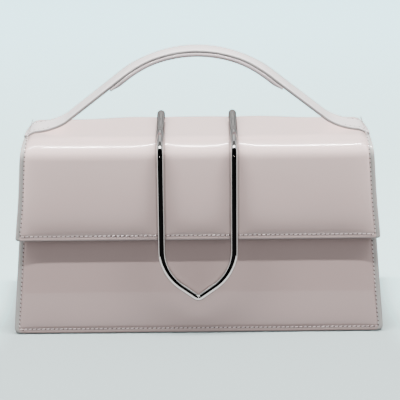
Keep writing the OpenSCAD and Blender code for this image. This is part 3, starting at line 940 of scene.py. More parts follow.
def wall_point(place, depth, z):
    """Side view of a wall: the point at a depth behind its face that has a given height."""
    ends = place(0.0, depth, np.array([0.0, 100.0]))[:, 1:]
    share = (z - ends[0][1]) / (ends[1][1] - ends[0][1])
    return ends[0] + (ends[1] - ends[0]) * share


def flap_path():
    """Side view of the flap's outer face, from its lower edge over the top and down the back."""
    out = -(FLAP_GAP + FLAP_T)
    front = [wall_point(on_front, out, z) for z in (FLAP_BOTTOM, FLAP_TOP)]
    back = [wall_point(on_back, -FLAP_BACK_GAP, z) for z in (FLAP_TOP, FLAP_TAIL_Z)]
    return Path(front + back, [SHOULDER_R, FLAP_REAR_R])


FLAP = flap_path()
# Distance along that path at which the shoulder has begun to turn away from the front
SHOULDER_AT = (FLAP_TOP - SHOULDER_R - FLAP_BOTTOM) / COS + SHOULDER_R * 0.72


def droop(x, y):
    """How far the soft ends and the rear corners of the flap's top hang down, in millimetres."""
    x = np.abs(x)
    ends = END_SINK * smooth(x, 102.5, 111.5)
    corner = CORNER_SINK * smooth(x, 105.5, 110.0) * smooth(y, -8.0, 12.0)
    rear = REAR_SINK * smooth(x, 40.0, 84.0) + REAR_END_SINK * smooth(x, 84.0, 100.0)
    return np.maximum(ends + corner, rear * smooth(y, 17.5, 23.0))


def strap_fall(x, y):
    """How far the flat ends of the strap go down with the flap beneath them."""
    return droop(x, y) * smooth(np.abs(x), 99.0, 103.0)


def flap_half(z, rear):
    """Half width of the flap at a height, drawn in where it runs down the back."""
    lap = FLAP_TOP_LAP + (FLAP_LAP - FLAP_TOP_LAP) * (FLAP_TOP + 1 - z) / (FLAP_DROP + 1)
    out = END_ROLL * float(smooth(z, FLAP_BOTTOM + 20, FLAP_TOP))
    return half_width(z) + lap + out - rear * (lap + out + FLAP_BACK_INSET)


def flap_grid(depth, inset, relief, tail, count=86):
    """Grid of one layer of the flap, at a depth below its outer face, that ends tail before the path does."""
    radius = max(FLAP_CORNER_R - inset, 0.9)
    points = []
    for s in rows(FLAP.length - inset - tail, 1.5):
        along = inset + s
        y, z = FLAP.at(along)
        out_y, out_z = FLAP.normal(along)
        half = flap_half(z, float(smooth(y, 20.0, 25.0))) - inset
        x, side, near = corner_row(half, s, radius, count)
        lift = relief(x, along, near, side, s, FLAP.length - tail - along) - depth
        fall = droop(x, y) * max(float(out_z), 0.0) ** 2
        points.append(np.stack([x, y + out_y * lift, z + out_z * lift - fall], -1))
    return np.array(points)


def flap_relief(x, along, near, side, up, rest):
    """Padding of the flap: three soft pillows, pressed down under the two bars of the ring."""
    sizes = bpy.context.scene.handbag_sizes
    bars = 1 - np.exp(-(((np.abs(x) - RING_SPACING / 2) / BAR_DENT) ** 2))
    tail = smooth(rest, 8.0, 24.0)
    ease = LOW_SHARE + (1 - LOW_SHARE) * smooth(along, 18.0, SHOULDER_AT - 6.0)
    past = along - SHOULDER_AT + 2.0
    turn = TURN_SHARE * (1 - ((float(np.clip(past, -TURN_RUN, 0.0)) + TURN_RUN) / TURN_RUN) ** 2)
    fade = (1 - TURN_SHARE) * math.exp(-max(past, 0.0) / FADE_RUN)
    flat = sizes.flap_puff * 1000 * pillow(up, FOOT_RUN) * ease * (turn + fade)
    top = sizes.shoulder_puff * 1000 * smooth(along, SHOULDER_AT - 12.0, SHOULDER_AT + 6.0)
    return (flat + top) * pillow(side, END_RUN) * bars * tail - seam_dip(np.minimum(near, rest + 0.4))


def ring_path():
    """Centre line of the polished ring, from one rear end over the flap, round the point and back."""
    rear_y = HINGE_Y - FLAP_T / 2 - ROD_R + RING_REAR_SET
    rod_top = FLAP_TOP + SEAM + ROD_R
    offset = FLAP_GAP + FLAP_T + SEAM + ROD_R
    shoulder = wall_point(on_front, -offset, rod_top)
    slope_sin, slope_cos = math.sin(RING_SLOPE), math.cos(RING_SLOPE)
    turn = math.pi / 2 - RING_SLOPE
    gap = RING_SIDE_R - RING_SPACING / 2
    arc_x = RING_SIDE_R * math.cos(turn) - gap
    arc_drop = RING_SIDE_R * math.sin(turn)
    side = (arc_x - RING_TIP_R * slope_sin) / slope_cos
    drop = arc_drop + side * slope_sin - RING_TIP_R * slope_cos
    bend = FLAP_BOTTOM / COS - RING_REACH + ROD_R + RING_TIP_R + drop
    foot = on_front(0.0, -offset, bend)[1:]
    over = Path(
        [(rear_y, FLAP_TOP - RING_SUNK), (rear_y, rod_top), shoulder, foot],
        [RING_REAR_R, SHOULDER_R + SEAM + ROD_R],
    )
    s = np.linspace(0, over.length, 220)
    p = over.at(s)
    p[:, 1] += RING_REAR_RISE * smooth(p[:, 0], -14.0, 14.0)
    left = np.stack([np.full(len(s), -RING_SPACING / 2), p[:, 0], p[:, 1]], -1)
    loop = []
    for a in np.linspace(0, turn, 50)[1:]:
        loop.append((gap - RING_SIDE_R * math.cos(a), bend - RING_SIDE_R * math.sin(a)))
    for share in np.linspace(0, 1, 14)[1:]:
        loop.append((-arc_x + share * side * slope_cos, bend - arc_drop - share * side * slope_sin))
    for a in np.linspace(turn, math.pi / 2, 14)[1:]:
        loop.append((-RING_TIP_R * math.cos(a), bend - drop - RING_TIP_R * math.sin(a)))
    loop = np.array(loop)
    low = on_front(loop[:, 0], -offset, loop[:, 1])
    half = np.concatenate([left, low])
    return np.concatenate([half, mirrored(half[-2::-1])])


class Strap:
    """Line of the handle's upper face in front view, from the middle of its crown to its flat right end."""

    def __init__(self):
        self.end_x = half_width(FLAP_TOP) + FLAP_TOP_LAP - 0.1
        flat_x = self.end_x - STRAP_LANDING
        drop = HANDLE_RISE - SEAM - STRAP_T
        s, c = math.sin(LEG_ANGLE), math.cos(LEG_ANGLE)
        total = (flat_x * s - drop * c) / (1 - c)
        root_r = total * ROOT_SHARE
        self.crown_r = total - root_r
        top = FLAP_TOP + HANDLE_RISE
        crown_z = top - self.crown_r
        leg = (flat_x - total * s) / c
        z = FLAP_TOP + SEAM + STRAP_T
        half = [(0.0, top)]
        for a in np.linspace(0, LEG_ANGLE, 60)[1:]:
            half.append((self.crown_r * math.sin(a), crown_z + self.crown_r * math.cos(a)))
        x0, z0 = half[-1]
        half.append((x0 + leg * c, z0 - leg * s))
        for a in np.linspace(LEG_ANGLE, 0, 40)[1:]:
            half.append((flat_x - root_r * math.sin(a), z + root_r - root_r * math.cos(a)))
        half.append((self.end_x + END_ROLL - 0.2, z))
        half = [
            (x, z - STRAP_SAG * math.exp(-(((x - STRAP_SAG_X) / STRAP_SAG_SPREAD) ** 2))) for x, z in half
        ]
        self.half = Path(half, [0] * (len(half) - 2))

    def width(self, x):
        share = smooth(np.abs(x), 0.25 * self.end_x, 0.47 * self.end_x)
        return STRAP_W + (STRAP_END_W - STRAP_W) * share


STRAP = Strap()


def strap_skin(run, depth, across, dome):
    """Points on the strap: run is the distance from the crown's middle, depth goes down through it."""
    p = STRAP.half.at(run)
    out = STRAP.half.normal(run)
    half = STRAP.width(p[:, 0]) / 2
    points = []
    for i in range(len(run)):
        y = across * (half[i] - 0.45)
        lift = dome[i] * (1 - np.abs(across) ** 2.5) - depth - 0.18 * np.abs(across) ** 14
        fall = strap_fall(p[i, 0], y)
        points.append(np.stack([p[i, 0] + out[i, 0] * lift, y, p[i, 1] + out[i, 1] * lift - fall], -1))
    return np.array(points)


# Settings in the panel
def colour(label, about, value):
    return bpy.props.FloatVectorProperty(
        name=label, description=about, subtype="COLOR", size=3, min=0, max=1, default=value
    )


def length(label, about, value, low=0.0, high=0.1):
    return bpy.props.FloatProperty(
        name=label, description=about, default=value, min=low, max=high,
        subtype="DISTANCE", unit="LENGTH", precision=5,
    )


def power(label, about, value):
    return bpy.props.FloatProperty(name=label, description=about, default=value, unit="POWER")


class HandbagColours(bpy.types.PropertyGroup):
    flap_leather: colour("Flap leather", "Glossy leather of the flap", (0.68, 0.52, 0.49))
    handle_leather: colour("Handle leather", "Glossy leather of the handle", (0.71, 0.65, 0.645))
    grip_leather: colour("Grip leather", "Leather round the grip", (0.44, 0.38, 0.385))
    # Greyer colour of the strips outside the seams at the sides
    turned_edge: colour("Turned edge", "Painted strip outside the seams at the sides", (0.42, 0.405, 0.385))
    # Painted shade: the body's leather is the flap's leather, darker
    body_leather: colour("Body leather", "Glossy leather of the body", (0.50, 0.375, 0.355))
    inner_leather: colour("Inner leather", "Matt leather of flap and mouth inside", (0.46, 0.38, 0.38))
    edge_paint: colour("Edge paint", "Paint on the cut edges of the leather", (0.50, 0.44, 0.43))
    # Dark edge paint, made darker as painted shadow under the strap's edge and along the walls' foot
    handle_edge: colour("Handle edge", "Paint on the handle's and the walls' cut edges", (0.27, 0.255, 0.25))
    lining: colour("Lining", "Twill lining of the inside", (0.36, 0.28, 0.27))
    thread: colour("Thread", "Sewing thread", (0.60, 0.53, 0.52))
    needle_hole: colour("Needle holes", "Shade in the holes between stitches", (0.10, 0.075, 0.075))
    metal: colour("Metal", "Polished nickel of the rings", (0.86, 0.84, 0.82))
    board: colour("Board", "Fibre board inside the walls", (0.30, 0.22, 0.15))
    floor: colour("Floor", "Pale floor and backdrop", (0.33, 0.40, 0.40))


class HandbagSizes(bpy.types.PropertyGroup):
    flap_puff: length("Flap padding", "How far the flap stands out between its seams", 0.0028, 0, 0.004)
    shoulder_puff: length("Shoulder padding", "Padding of the flap's top", 0.0003, 0, 0.003)
    wall_puff: length("Wall padding", "How far front and back stand out between seams", 0.0007, 0, 0.003)
    stitch_pitch: length("Stitch pitch", "Distance from one stitch to the next", 0.0029, 0.001, 0.01)
    stitch_length: length("Stitch length", "Length of one stitch", 0.0021, 0.0005, 0.008)
    stitch_slant: bpy.props.FloatProperty(
        name="Stitch slant", description="Turn of each stitch from its seam", default=0.42, subtype="ANGLE"
    )


class HandbagStage(bpy.types.PropertyGroup):
    strip_power: power("Strip light", "Power of the strip light", 68.0)
    side_power: power("Side lights", "Power of each side light", 7.0)
    fill_power: power("Fill light", "Power of the light over the bag", 7.0)
    world_level: bpy.props.FloatProperty(name="Room", description="Brightness of the room", default=0.40)


# Pieces that the strip lights shine past, so that the handle leaves no hard shadow on the flap
CLEAR_OF_STRIP = "clear_of_strip"
# Pieces in which the gloss strip isn't mirrored
KEPT_DULL = "kept_dull"
# The ring alone, for the lamp that it mirrors over the flap's shoulder
ONLY_RING = "only_ring"


def linked(name):
    """The collection of this name, for light linking."""
    return bpy.data.collections.get(name) or bpy.data.collections.new(name)


def leave_out(thing, name):
    held = linked(name)
    held.objects.link(thing)
    for item in held.collection_objects:
        item.light_linking.link_state = "EXCLUDE"


class StageOperator(bpy.types.Operator):
    """Makes the floor, the lights and the camera"""

    bl_idname = "handbag.stage"
    bl_label = "Stage"

    def execute(self, context):
        settings = context.scene.handbag_stage
        self.floor(context.scene.handbag_colours.floor)
        self.cards()
        aim = (0, -0.03, 0.09)
        strip = self.light("strip_light", (0, -0.161, 1.1), aim, (2.6, 0.018), settings.strip_power)
        strip.light_linking.blocker_collection = linked(CLEAR_OF_STRIP)
        aim = (0, -0.03, 0.12)
        gloss = self.light("gloss_strip", (0, -0.09, 1.2), aim, (2.6, 0.018), settings.strip_power, True)
        gloss.light_linking.blocker_collection = linked(CLEAR_OF_STRIP)
        gloss.light_linking.receiver_collection = linked(KEPT_DULL)
        lamp = self.light("ring_lamp", (0, -1.09, 1.6), (0, -0.03, 0.13), (2.2, 0.62), 24.0, True)
        lamp.light_linking.receiver_collection = linked(ONLY_RING)
        for side, sign in SIDES[::-1]:
            place = (sign * 0.95, -0.12, 0.4)
            self.light("side_light_" + side, place, (0, 0, 0.05), (0.9, 0.9), settings.side_power)
        self.light("top_light", (0, 0.25, 1.3), (0, 0.1, 0.0), (2.2, 1.2), settings.fill_power)
        world = bpy.data.worlds.new("room")
        world.use_nodes = True
        background = world.node_tree.nodes["Background"]
        background.inputs["Color"].default_value = (0.93, 0.97, 1.0, 1.0)
        background.inputs["Strength"].default_value = settings.world_level
        context.scene.world = world
        self.camera(context)
        return {"FINISHED"}

    def floor(self, color):
        """A floor that curves up into a backdrop far behind the bag."""
        path = Path([(-3400.0, 0.0), (3400.0, 0.0), (3400.0, 2600.0)], [900.0])
        p = path.at(np.linspace(0, path.length, 120))
        x = np.linspace(-4500, 4500, 9)
        points = [(a, q[0], q[1] - 0.02) for q in p for a in x]
        faces = []
        for i in range(len(p) - 1):
            for j in range(len(x) - 1):
                a = i * len(x) + j
                faces.append((a, a + 1, a + 1 + len(x), a + len(x)))
        floor = add_object("floor", raw_mesh("floor", points, [], faces, [floor_finish("pale_floor", color)]))
        floor.visible_diffuse = False
        floor.visible_glossy = False

    def light(self, name, place, aim, size, power, gloss=False):
        """A rectangular lamp that is seen either by diffuse surfaces or in gloss alone."""
        data = bpy.data.lights.new(name, "AREA")
        data.shape = "RECTANGLE"
        data.size, data.size_y = size
        data.energy = power
        lamp = add_object(name, data)
        lamp.location = place
        lamp.visible_glossy = gloss
        lamp.visible_diffuse = not gloss
        way = Vector(aim) - Vector(place)
        lamp.rotation_euler = way.to_track_quat("-Z", "Y").to_euler()
        return lamp

    def camera(self, context):
        """The camera that was fitted to the photo."""
        data = bpy.data.cameras.new("camera")
        data.sensor_width = 36.0
        data.lens = 131.98
        data.clip_start = 0.01
        data.clip_end = 20.0
        camera = add_object("camera", data)
        camera.location = (0.0016, -0.89716, 0.43289)
        pitch = math.radians(21.479)
        roll = math.radians(-0.55)
        turn = Matrix.Rotation(math.pi / 2 - pitch, 4, "X") @ Matrix.Rotation(roll, 4, "Z")
        camera.rotation_mode = "XYZ"
        camera.rotation_euler = turn.to_euler()
        context.scene.camera = camera

    def cards(self):
        """Dark and bright cards that only the gloss of the leather and the metal mirrors."""

        def upright(x, low, high, bottom, top):
            return [(x, low, bottom), (x, high, bottom), (x, high, top), (x, low, top)]

        def facing(y, half, bottom, top):
            return [(-half, y, bottom), (half, y, bottom), (half, y, top), (-half, y, top)]

        def level(z, half, near, far, far_half):
            return [(-half, near, z), (half, near, z), (far_half, far, z), (-far_half, far, z)]

        cards = [
            ("near_card", level(0.05, 150, -45, -140, 150), 1.2),
            ("floor_card", level(0.05, 115, -140, -2500, 4500), 0.0),
            ("tall_card", facing(-1700, 3400, -1500, 1750), 0.0),
        ]
        for name, low, high, glow in (("side_card_", -260, 60, 1.2), ("side_shade_", -500, -260, 0.02)):
            for side, sign in SIDES[::-1]:
                cards.append((name + side, upright(sign * 900, low, high, -600, 1000), glow))
        cards += [
            ("ceiling_front", level(1600, 1200, -1700, -410, 1200), 0.15),
            ("ceiling_card", level(1600, 450, -410, 1700, 450), 0.85),
            ("back_top", facing(1700, 450, 1250, 1600), 0.85),
            ("back_dim", facing(1700, 450, 1060, 1250), 0.22),
            ("back_high", facing(1700, 450, 600, 1060), 0.85),
            ("back_low", facing(1700, 3000, -700, 600), 1.1),
            ("speck_low", facing(-1600, 70, 240, 265), 16.0),
            ("speck_high", facing(-1600, 70, 390, 415), 16.0),
        ]
        for name, points, glow in cards:
            card = add_object(name, raw_mesh(name, points, [], [range(4)], [card_finish(name, glow)]))
            card.visible_camera = False
            card.visible_diffuse = False
            card.visible_transmission = False
            card.visible_shadow = False


class WallsOperator(bpy.types.Operator):
    """Makes the front, the back and the base"""

    bl_idname = "handbag.walls"
    bl_label = "Front, back and base"

    def execute(self, context):
        crown = context.scene.handbag_sizes.wall_puff * 1000
        front = wall("front_wall", FRONT_SLANT, on_front, crown, FLAP_BOTTOM / COS)
        settle(front, "body", "body_leather", "front_panel")

        def back_place(x, depth, slope):
            """The back's top corners sink with the flap that is sewn to them."""
            x, depth, slope = np.broadcast_arrays(x, depth, slope)
            sunk = 3.4 * smooth(np.abs(x), 97.0, 109.0) * smooth(slope, 96.0, SLANT)
            return on_back(x, depth, slope - sunk)

        back = wall("back_wall", SLANT, back_place, crown, BACK_SEAM_TOP)
        settle(back, "body", "body_leather", "back_panel")
        lines = [panel_seam(FRONT_SLANT - 4, on_front, 1), panel_seam(BACK_SEAM_TOP, on_back, -1)]
        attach(stitches("wall_stitches", lines), "body")
        self.base()
        return {"FINISHED"}

    def base(self):
        high = box_mm("base_panel")[1]
        end = high[0] - 0.4
        deep = high[1] - 0.8
        x, y = np.meshgrid(columns(end, 60), columns(deep, 14))
        sag = 0.25 * np.cos(np.pi * x / end / 2) * np.cos(np.pi * y / deep / 2)
        outer = np.stack([x, y, 0.35 - sag], -1)
        inner = np.stack([x, y, np.full_like(x, LEATHER_T)], -1)
        base = sheet("base_leather", outer, inner, 0.4, finishes("body_leather", "edge_paint"))
        settle(base, "body", "inner_leather", "base_panel")


def gusset_path(z, shift):
    """Level section of a gusset at a height: out along one seam margin, in over the fold and out again."""
    slope = z / COS
    tip = half_width(slope) - 0.95
    corner = half_width(slope) - SEAM_MARGIN - GUSSET_T / 2
    y = BASE_DEPTH / 2 - z * math.tan(LEAN) - INNER_SKIN / COS - GUSSET_T / 2
    fold = GUSSET_FOLD * z / BODY_H
    s = np.linspace(-1, 1, 25)
    reach = y - 4.0
    x = corner - fold * (1 - np.abs(s) ** FOLD_POWER) + shift
    middle = [(a, b) for a, b in zip(x, s * reach)]
    if shift:
        return Path(middle, [0] * (len(middle) - 2))
    points = [(tip, -y), (corner + 0.6, -y)] + middle + [(corner + 0.6, y), (tip, y)]
    return Path(points, [1.4, 2.0] + [0.0] * (len(middle) - 2) + [2.0, 1.4])


def gusset_grid(offset, shift, low, top, levels=46, count=120):
    points = []
    plan = []
    for z in np.linspace(low, top, levels):
        path = gusset_path(z, shift)
        s = np.linspace(0, path.length, count)
        p = path.at(s)
        wide = np.pad(path.normal(s), ((2, 2), (0, 0)), mode="edge")
        out = -np.stack([np.convolve(wide[:, k], np.ones(5) / 5, "valid") for k in (0, 1)], -1)
        out /= np.linalg.norm(out, axis=1, keepdims=True)
        q = p + out * offset
        points.append(np.stack([q[:, 0], q[:, 1], np.full(count, z)], -1))
        plan.append(np.stack([s, np.full(count, z)], -1))
    return np.array(points), np.array(plan)


class GussetsOperator(bpy.types.Operator):
    """Makes the folded sides"""

    bl_idname = "handbag.gussets"
    bl_label = "Gussets"

    def execute(self, context):
        skin_span = (0, 0.9, GUSSET_TOP - 0.4)
        cloth_span = (-GUSSET_T / 2 - 0.35, BASE_TOP + 0.3, GUSSET_TOP - 0.6)
        outer, inner = (gusset_grid(offset, *skin_span)[0] for offset in (GUSSET_T / 2, -GUSSET_T / 2))
        cloth_out = gusset_grid(-0.1, *cloth_span)[0]
        cloth_in, plan = gusset_grid(-0.5, *cloth_span)
        for side, sign in SIDES:
            skins = finishes("gusset_leather", "edge_paint")
            skin = sheet("gusset_skin_" + side, mirrored(outer, sign), mirrored(inner, sign), 0.4, skins)
            settle(skin, "body", "body_leather", "gusset_" + side)
            faces = (mirrored(cloth_out, sign), mirrored(cloth_in, sign))
            cloth = sheet("gusset_cloth_" + side, *faces, 0.15, finishes("lining"), uv=plan)
            settle(cloth, "body", "lining", "gusset_lining_" + side)
        return {"FINISHED"}


class InsideOperator(bpy.types.Operator):
    """Makes the linings, the facings, the pocket and the mouth edges"""

    bl_idname = "handbag.inside"
    bl_label = "Inside"

    def along_wall(self, name, node, place, span, coarse, row, skins, slot, edge):
        """A sheet along a wall between two heights. row gives x and the depths of both faces at a height."""
        low, high = span
        outer = []
        inner = []
        plan = []
        for s in rows(high - low, coarse):
            x, front, back = row(s, low + s)
            outer.append(place(x, front, low + s))
            inner.append(place(x, back, low + s))
            plan.append(np.stack([x, np.full(len(x), low + s)], -1))
        piece = sheet(name, np.array(outer), np.array(inner), edge, skins, uv=np.array(plan))
        settle(piece, "body", slot, node)

    def cover(self, name, node, place, span, depth, thick, *rest):
        """A lining or a facing, as wide as the wall between the gussets."""
        inset = GUSSET_INNER + LINING_T + 3 * SEAM + 0.3

        def row(s, slope):
            return columns(half_width(slope) - inset, 40), depth, depth + thick

        self.along_wall(name, node, place, span, 5.0, row, *rest)

    def execute(self, context):
        cloth = finishes("lining")
        hide = finishes("inner_leather", "edge_paint")
        for side, place, top in (("front", on_front, FRONT_SLANT), ("back", on_back, SLANT)):
            span = (BASE_TOP + 0.8, top - FACING_H + 1.5)
            names = (side + "_cloth", side + "_lining")
            self.cover(*names, place, span, LINING_FACE, 0.45, cloth, "lining", 0.15)
            span = (top - FACING_H, top - 1.6)
            names = (side + "_mouth_facing", side + "_facing")
            self.cover(*names, place, span, LINING_FACE + 0.1, FACING_T - 0.1, hide, "inner_leather", 0.4)
            self.rim(side, place, top)
        low, high = box_mm("base_lining")
        x, y = np.meshgrid(columns(high[0] - 0.2, 40), columns(high[1] - 0.2, 10))
        lift = 0.06 * np.sin(x * 0.06) * np.sin(y * 0.09)
        outer = np.stack([x, y, high[2] - 0.05 + lift], -1)
        inner = np.stack([x, y, np.full_like(x, low[2])], -1)
        base = sheet("base_cloth", outer, inner, 0.15, cloth, uv=np.stack([x, y], -1))
        settle(base, "body", "lining", "base_lining")
        self.pocket()
        for node in ("front_board", "back_board", "base_board", "flap_reinforcement", "handle_stiffener"):
            paint_node(node, "board")
        for node in ("catch_magnet", "flap_magnet", "ring_screws"):
            paint_node(node, "steel")
        return {"FINISHED"}

    def rim(self, side, place, top):
        """Rounded, painted edge that closes the wall round the mouth."""
        x = columns(half_width(top) - GUSSET_INNER - 0.6, 60)
        profile = [(0.5, -2.2), (0.5, -0.5), (1.2, -0.12), (2.6, 0.0)]
        profile += [(3.9, -0.25), (4.75, -1.0), (4.85, -2.2)]
        outer = np.array([place(x, depth, top + up) for depth, up in profile])
        inner = np.array([place(x, 0.9 + (depth - 0.5) * 0.82, top - 2.6) for depth, up in profile])
        rim = sheet(side + "_mouth_rim", outer, inner, 0.1, finishes("edge_paint"), around=2)
        settle(rim, "body", "inner_leather")

    def pocket(self):
        """Slip pocket on the back's lining, open and a little slack at its top."""
        low, high = box_mm("slip_pocket")
        half = high[0] - 0.3
        bottom = low[2] / COS
        top = high[2] / COS - 0.3
        start = LINING_FACE + LINING_T + SEAM

        def row(s, slope):
            x = columns(half, 30)
            near = np.minimum(half - np.abs(x), s)
            gape = 1.55 * smooth(near, 0.5, 9.0) * (0.55 + 0.45 * s / (top - bottom))
            hem = 0.25 * (1 - smooth(top - slope, 5.0, 6.0))
            return x, start + 0.1 + gape * 0.9, start + 0.55 + gape + hem

        span = (bottom, top)
        skins = finishes("lining")
        self.along_wall("pocket_cloth", "slip_pocket", on_back, span, 4.0, row, skins, "lining", 0.2)


class FlapOperator(bpy.types.Operator):
    """Makes the flap's leather, which bends over the back edge, and its lining"""

    bl_idname = "handbag.flap"
    bl_label = "Flap"

    def execute(self, context):
        outer = flap_grid(0.0, FLAP_RIM, flap_relief, FLAP_RIM)
        inner = flap_grid(FLAP_LEATHER_T, FLAP_RIM, unpadded, FLAP_RIM)
        skins = finishes("flap_leather", "edge_paint", "turned_edge")
        # The outer columns, outside the side seams, are greyer
        skin = sheet("flap_skin", outer, inner, FLAP_RIM, skins, strip=6)
        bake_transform(skin)
        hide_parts("flap_leather")

        def dish(x, along, near, side, up, rest):
            """The lining lies deeper over the board inside and comes up to the leather at its rim."""
            return -1.62 * smooth(np.minimum(near, rest), 0.3, 2.4)

        stop = FLAP.length - self.reach_of(HINGE_Y - 1.0)
        depth = FLAP_LEATHER_T + 0.06
        grids = [flap_grid(d, 0.9, dish, stop) for d in (depth, depth + LINING_T)]
        lining = sheet("flap_inner_leather", *grids, 0.3, finishes("inner_leather", "edge_paint"))
        settle(lining, "flap", "inner_leather", "flap_lining")

        inset = STITCH_IN + FLAP_RIM
        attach(stitches("flap_stitches", [self.seam(inset)]), "flap")
        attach(stitches("back_stitches", self.back_seam(inset)), "body")
        return {"FINISHED"}

    def reach_of(self, y):
        """Distance along the flap's path at which it is over a depth on its top."""
        s = np.linspace(0, FLAP.length, 4000)
        p = FLAP.at(s)
        on_top = p[:, 1] > FLAP_TOP - 0.02
        return float(s[on_top][np.argmin(np.abs(p[on_top, 0] - y))])

    def seam(self, inset):
        """Stitch line from the rear of one side, along the lower edge, to the rear of the other."""

        def stitch(s):
            """Point and normal of the seam at a distance along the path, on the right."""
            y, z = FLAP.at(s)
            half = flap_half(z, 0.0) - inset
            return (half, y, z), (0, *FLAP.normal(s))

        stop = self.reach_of(18.0)
        radius = max(FLAP_CORNER_R - inset, 0.8)
        run = np.linspace(inset + radius, stop, int((stop - inset - radius) / 1.5))
        (half, y, z), foot_normal = stitch(inset)
        corner = []
        for a in np.linspace(0, math.pi / 2, 6)[1:-1]:
            point = stitch(inset + radius - radius * math.sin(a))[0]
            corner.append(((half - radius + radius * math.cos(a), *point[1:]), foot_normal))
        foot = [((x, y, z), foot_normal) for x in np.linspace(half - radius, -half + radius, 150)]
        right = [stitch(s) for s in run[::-1]] + corner
        left = [((-p[0], p[1], p[2]), n) for p, n in right[::-1]]
        line = right + foot + left
        points = [tuple(np.array(p) + np.array(n) * 0.08) for p, n in line]
        return points, [n for p, n in line]

    def back_seam(self, inset):
        """Two stitch lines where the flap's leather is sewn to the back."""
        lines = []
        for back in (inset, inset + 6.0):
            y, z = FLAP.at(FLAP.length - back)
            out_y, out_z = FLAP.normal(FLAP.length - back)
            half = flap_half(z, 1.0) - inset
            points = [(x, y + out_y * 0.03, z + out_z * 0.03) for x in np.linspace(-half, half, 150)]
            lines.append((points, [(0, out_y, out_z)] * 150))
        return lines


class RingOperator(bpy.types.Operator):
    """Makes the polished ring that lies over the flap"""

    bl_idname = "handbag.ring"
    bl_label = "Ring"

    def execute(self, context):
        ring = tube("flap_ring", ring_path(), ROD_R, finish("metal"), 40)
        settle(ring, "flap", "polished_metal", "ring")
        ring.visible_diffuse = False
        leave_out(ring, KEPT_DULL)
        linked(ONLY_RING).objects.link(ring)
        return {"FINISHED"}


class HandleOperator(bpy.types.Operator):
    """Makes the strap handle with its padded grip"""

    bl_idname = "handbag.handle"
    bl_label = "Handle"

    def execute(self, context):
        run = run_out(STRAP.half.length, 130, END_STEPS, 0.4)
        dome = STRAP_DOME * (1 - smooth(run, *STRAP_DOME_END))
        outer = strap_skin(run, 0.0, bunched(31), dome)
        inner = strap_skin(run, STRAP_T, bunched(31), 0 * dome)
        # The strap's dark rim is edge paint and painted shadow in the gap under the strap
        skins = finishes("handle_leather", "handle_edge")
        for side, sign in SIDES:
            strap = sheet(
                "handle_strap_" + side, mirrored(outer, sign), mirrored(inner, sign), 0.45, skins,
                flat_ends=(0,), sharp=math.radians(60),
            )
            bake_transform(strap)
            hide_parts("handle_end_" + side, "handle_strap")
            leave_out(strap, CLEAR_OF_STRIP)
            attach(stitches("handle_end_stitches_" + side, [self.end_seam(sign)]), "flap")
        self.grip()
        return {"FINISHED"}

    def end_seam(self, sign):
        """Stitches round the flat, flared end of the strap."""
        length = STRAP.half.length
        run = np.linspace(length - END_SEAM_RUN, length - END_SEAM_IN, 14)
        p = STRAP.half.at(run)
        n = STRAP.half.normal(run)
        half = STRAP.width(p[:, 0]) / 2 - END_SEAM_SIDE
        one = [((sign * a[0], -h, a[1]), (sign * b[0], 0, b[1])) for a, b, h in zip(p, n, half)]
        end = one[-1]
        cross = [((end[0][0], y, end[0][2]), end[1]) for y in np.linspace(-half[-1], half[-1], 20)[1:-1]]
        other = [((q[0], -q[1], q[2]), normal) for q, normal in one[::-1]]
        line = one + cross + other
        points = []
        for q, normal in line:
            fall = float(strap_fall(q[0], q[1]))
            points.append((q[0] + normal[0] * 0.05, q[1], q[2] + normal[2] * 0.05 - fall))
        return points, [normal for q, normal in line]

    def grip(self):
        """The thicker leather under the crown, drawn up to the strap at both of its ends."""
        start = STIFFENER_T + SEAM + STRAP_T + SEAM
        reach = STRAP.crown_r * LEG_ANGLE + GRIP_LEG
        half = run_out(reach, 60, END_STEPS[1:], 0.3)
        low_r = strap_skin(half, start + GRIP_T, bunched(25), 0 * half)
        top_r = strap_skin(half, STRAP_T + 0.12, bunched(25), 0 * half)
        low_r = low_r + smooth(half, reach - 7, reach)[:, None, None] * (top_r - low_r) * 0.45
        outer = np.concatenate([mirrored(low_r)[:0:-1], low_r])
        inner = np.concatenate([mirrored(top_r)[:0:-1], top_r])
        skins = finishes("grip_leather", "grip_leather")
        grip = sheet("handle_grip_leather", outer, inner, 0.6, skins, around=8)
        settle(grip, "handle", "body_leather", "handle_grip")
        leave_out(grip, CLEAR_OF_STRIP)
        leave_out(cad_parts["handle_stiffener"], CLEAR_OF_STRIP)


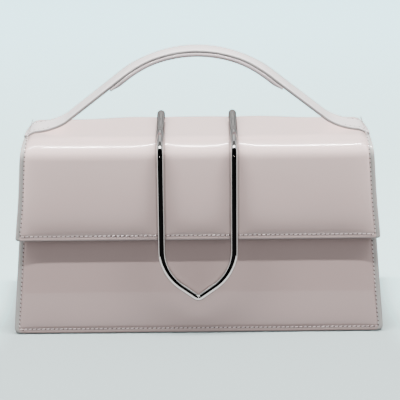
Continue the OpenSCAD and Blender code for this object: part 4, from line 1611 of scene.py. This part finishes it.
class SideRingsOperator(bpy.types.Operator):
    """Makes the side rings and the tabs that hold them"""

    bl_idname = "handbag.side_rings"
    bl_label = "Side rings"

    def execute(self, context):
        z = GUSSET_TOP - SIDE_RING_DROP
        slope = z / COS
        x = half_width(slope) - SEAM_MARGIN - GUSSET_FOLD * z / BODY_H
        tilt = math.atan(((BODY_W - MOUTH_W) / 2 + GUSSET_FOLD) / BODY_H)
        c, s = math.cos(tilt), math.sin(tilt)
        wire = WIRE_D / 2
        pivot = TAB_BASE + TAB_T + wire + PIVOT_GAP

        def on_gusset(u, v, w):
            """Points in the frame of the fold: u out of it, v across, w up it."""
            u, v, w = np.broadcast_arrays(u, v, w)
            return np.stack([x + u * c - w * s, v, z + u * s + w * c], -1)

        bar = SIDE_RING_W / 2 + wire
        line = Path([(0, 0), (bar, 0), (bar, -LOOP_LEG)], [LOOP_BEND_R])
        first = line.at(np.linspace(0, line.length, 26))
        turn = np.linspace(0, math.pi / 2, 30)[1:]
        bow = [(bar * math.cos(a), -LOOP_LEG - bar * math.sin(a)) for a in turn]
        half = np.concatenate([first, bow])
        ring = np.concatenate([half, half[-2:0:-1] * [-1, 1]])
        ring_points = on_gusset(pivot, ring[:, 0], ring[:, 1])

        eye = wire + 0.08 + 0.6
        front = [(1.85, TAB_FOOT), (1.85, -3.6), (pivot + eye - 0.2, -2.4), (pivot + eye, eye)]
        back = [(pivot - eye + 0.3, eye + 0.1), (0.95, eye - 0.6), (0.95, TAB_FOOT)]
        tab = Path(front + back, [3.0, 1.7, 1.8, 1.6, 1.5])
        run = np.linspace(0, tab.length, 90)
        across = bunched(15) * (TAB_W / 2 - 0.35)
        grids = []
        for offset in (TAB_LAYER, -TAB_LAYER):
            line = tab.at(run) - tab.normal(run) * offset
            grids.append(np.array([on_gusset(out, across, up) for out, up in line]))
        for side, sign in SIDES:
            bent = mirrored(ring_points, sign)
            loop = tube("side_loop_" + side, bent, wire, finish("metal"), 24, closed=True)
            settle(loop, "side_ring_" + side, "polished_metal", "side_ring_" + side)
            faces = [mirrored(grid, sign) for grid in grids]
            leather = sheet("side_tab_leather_" + side, *faces, 0.35, finishes("flap_leather", "edge_paint"))
            settle(leather, "body", "body_leather", "side_tab_" + side)
        return {"FINISHED"}


class HandbagPanel(bpy.types.Panel):
    """Lists the sizes, the colours and the pieces in the sidebar"""

    bl_idname = "VIEW3D_PT_handbag"
    bl_label = "Handbag"
    bl_space_type = "VIEW_3D"
    bl_region_type = "UI"
    bl_category = "Handbag"

    def draw(self, context):
        scene = context.scene
        for group in (scene.handbag_sizes, scene.handbag_colours, scene.handbag_stage):
            for key in group.__annotations__:
                self.layout.prop(group, key)
        for operator in OPERATORS:
            self.layout.operator(operator.bl_idname)


OPERATORS = (
    StageOperator,
    WallsOperator,
    GussetsOperator,
    InsideOperator,
    FlapOperator,
    RingOperator,
    HandleOperator,
    SideRingsOperator,
)
GROUPS = (
    ("handbag_colours", HandbagColours),
    ("handbag_sizes", HandbagSizes),
    ("handbag_stage", HandbagStage),
)


def register():
    for name, group in GROUPS:
        bpy.utils.register_class(group)
        setattr(bpy.types.Scene, name, bpy.props.PointerProperty(type=group))
    for item in OPERATORS + (HandbagPanel,):
        bpy.utils.register_class(item)


def unregister():
    for item in reversed(OPERATORS + (HandbagPanel,)):
        bpy.utils.unregister_class(item)
    for name, group in reversed(GROUPS):
        delattr(bpy.types.Scene, name)
        bpy.utils.unregister_class(group)


def main():
    register()
    for operator in OPERATORS:
        area, name = operator.bl_idname.split(".")
        getattr(getattr(bpy.ops, area), name)()


if __name__ == "__main__":
    main()
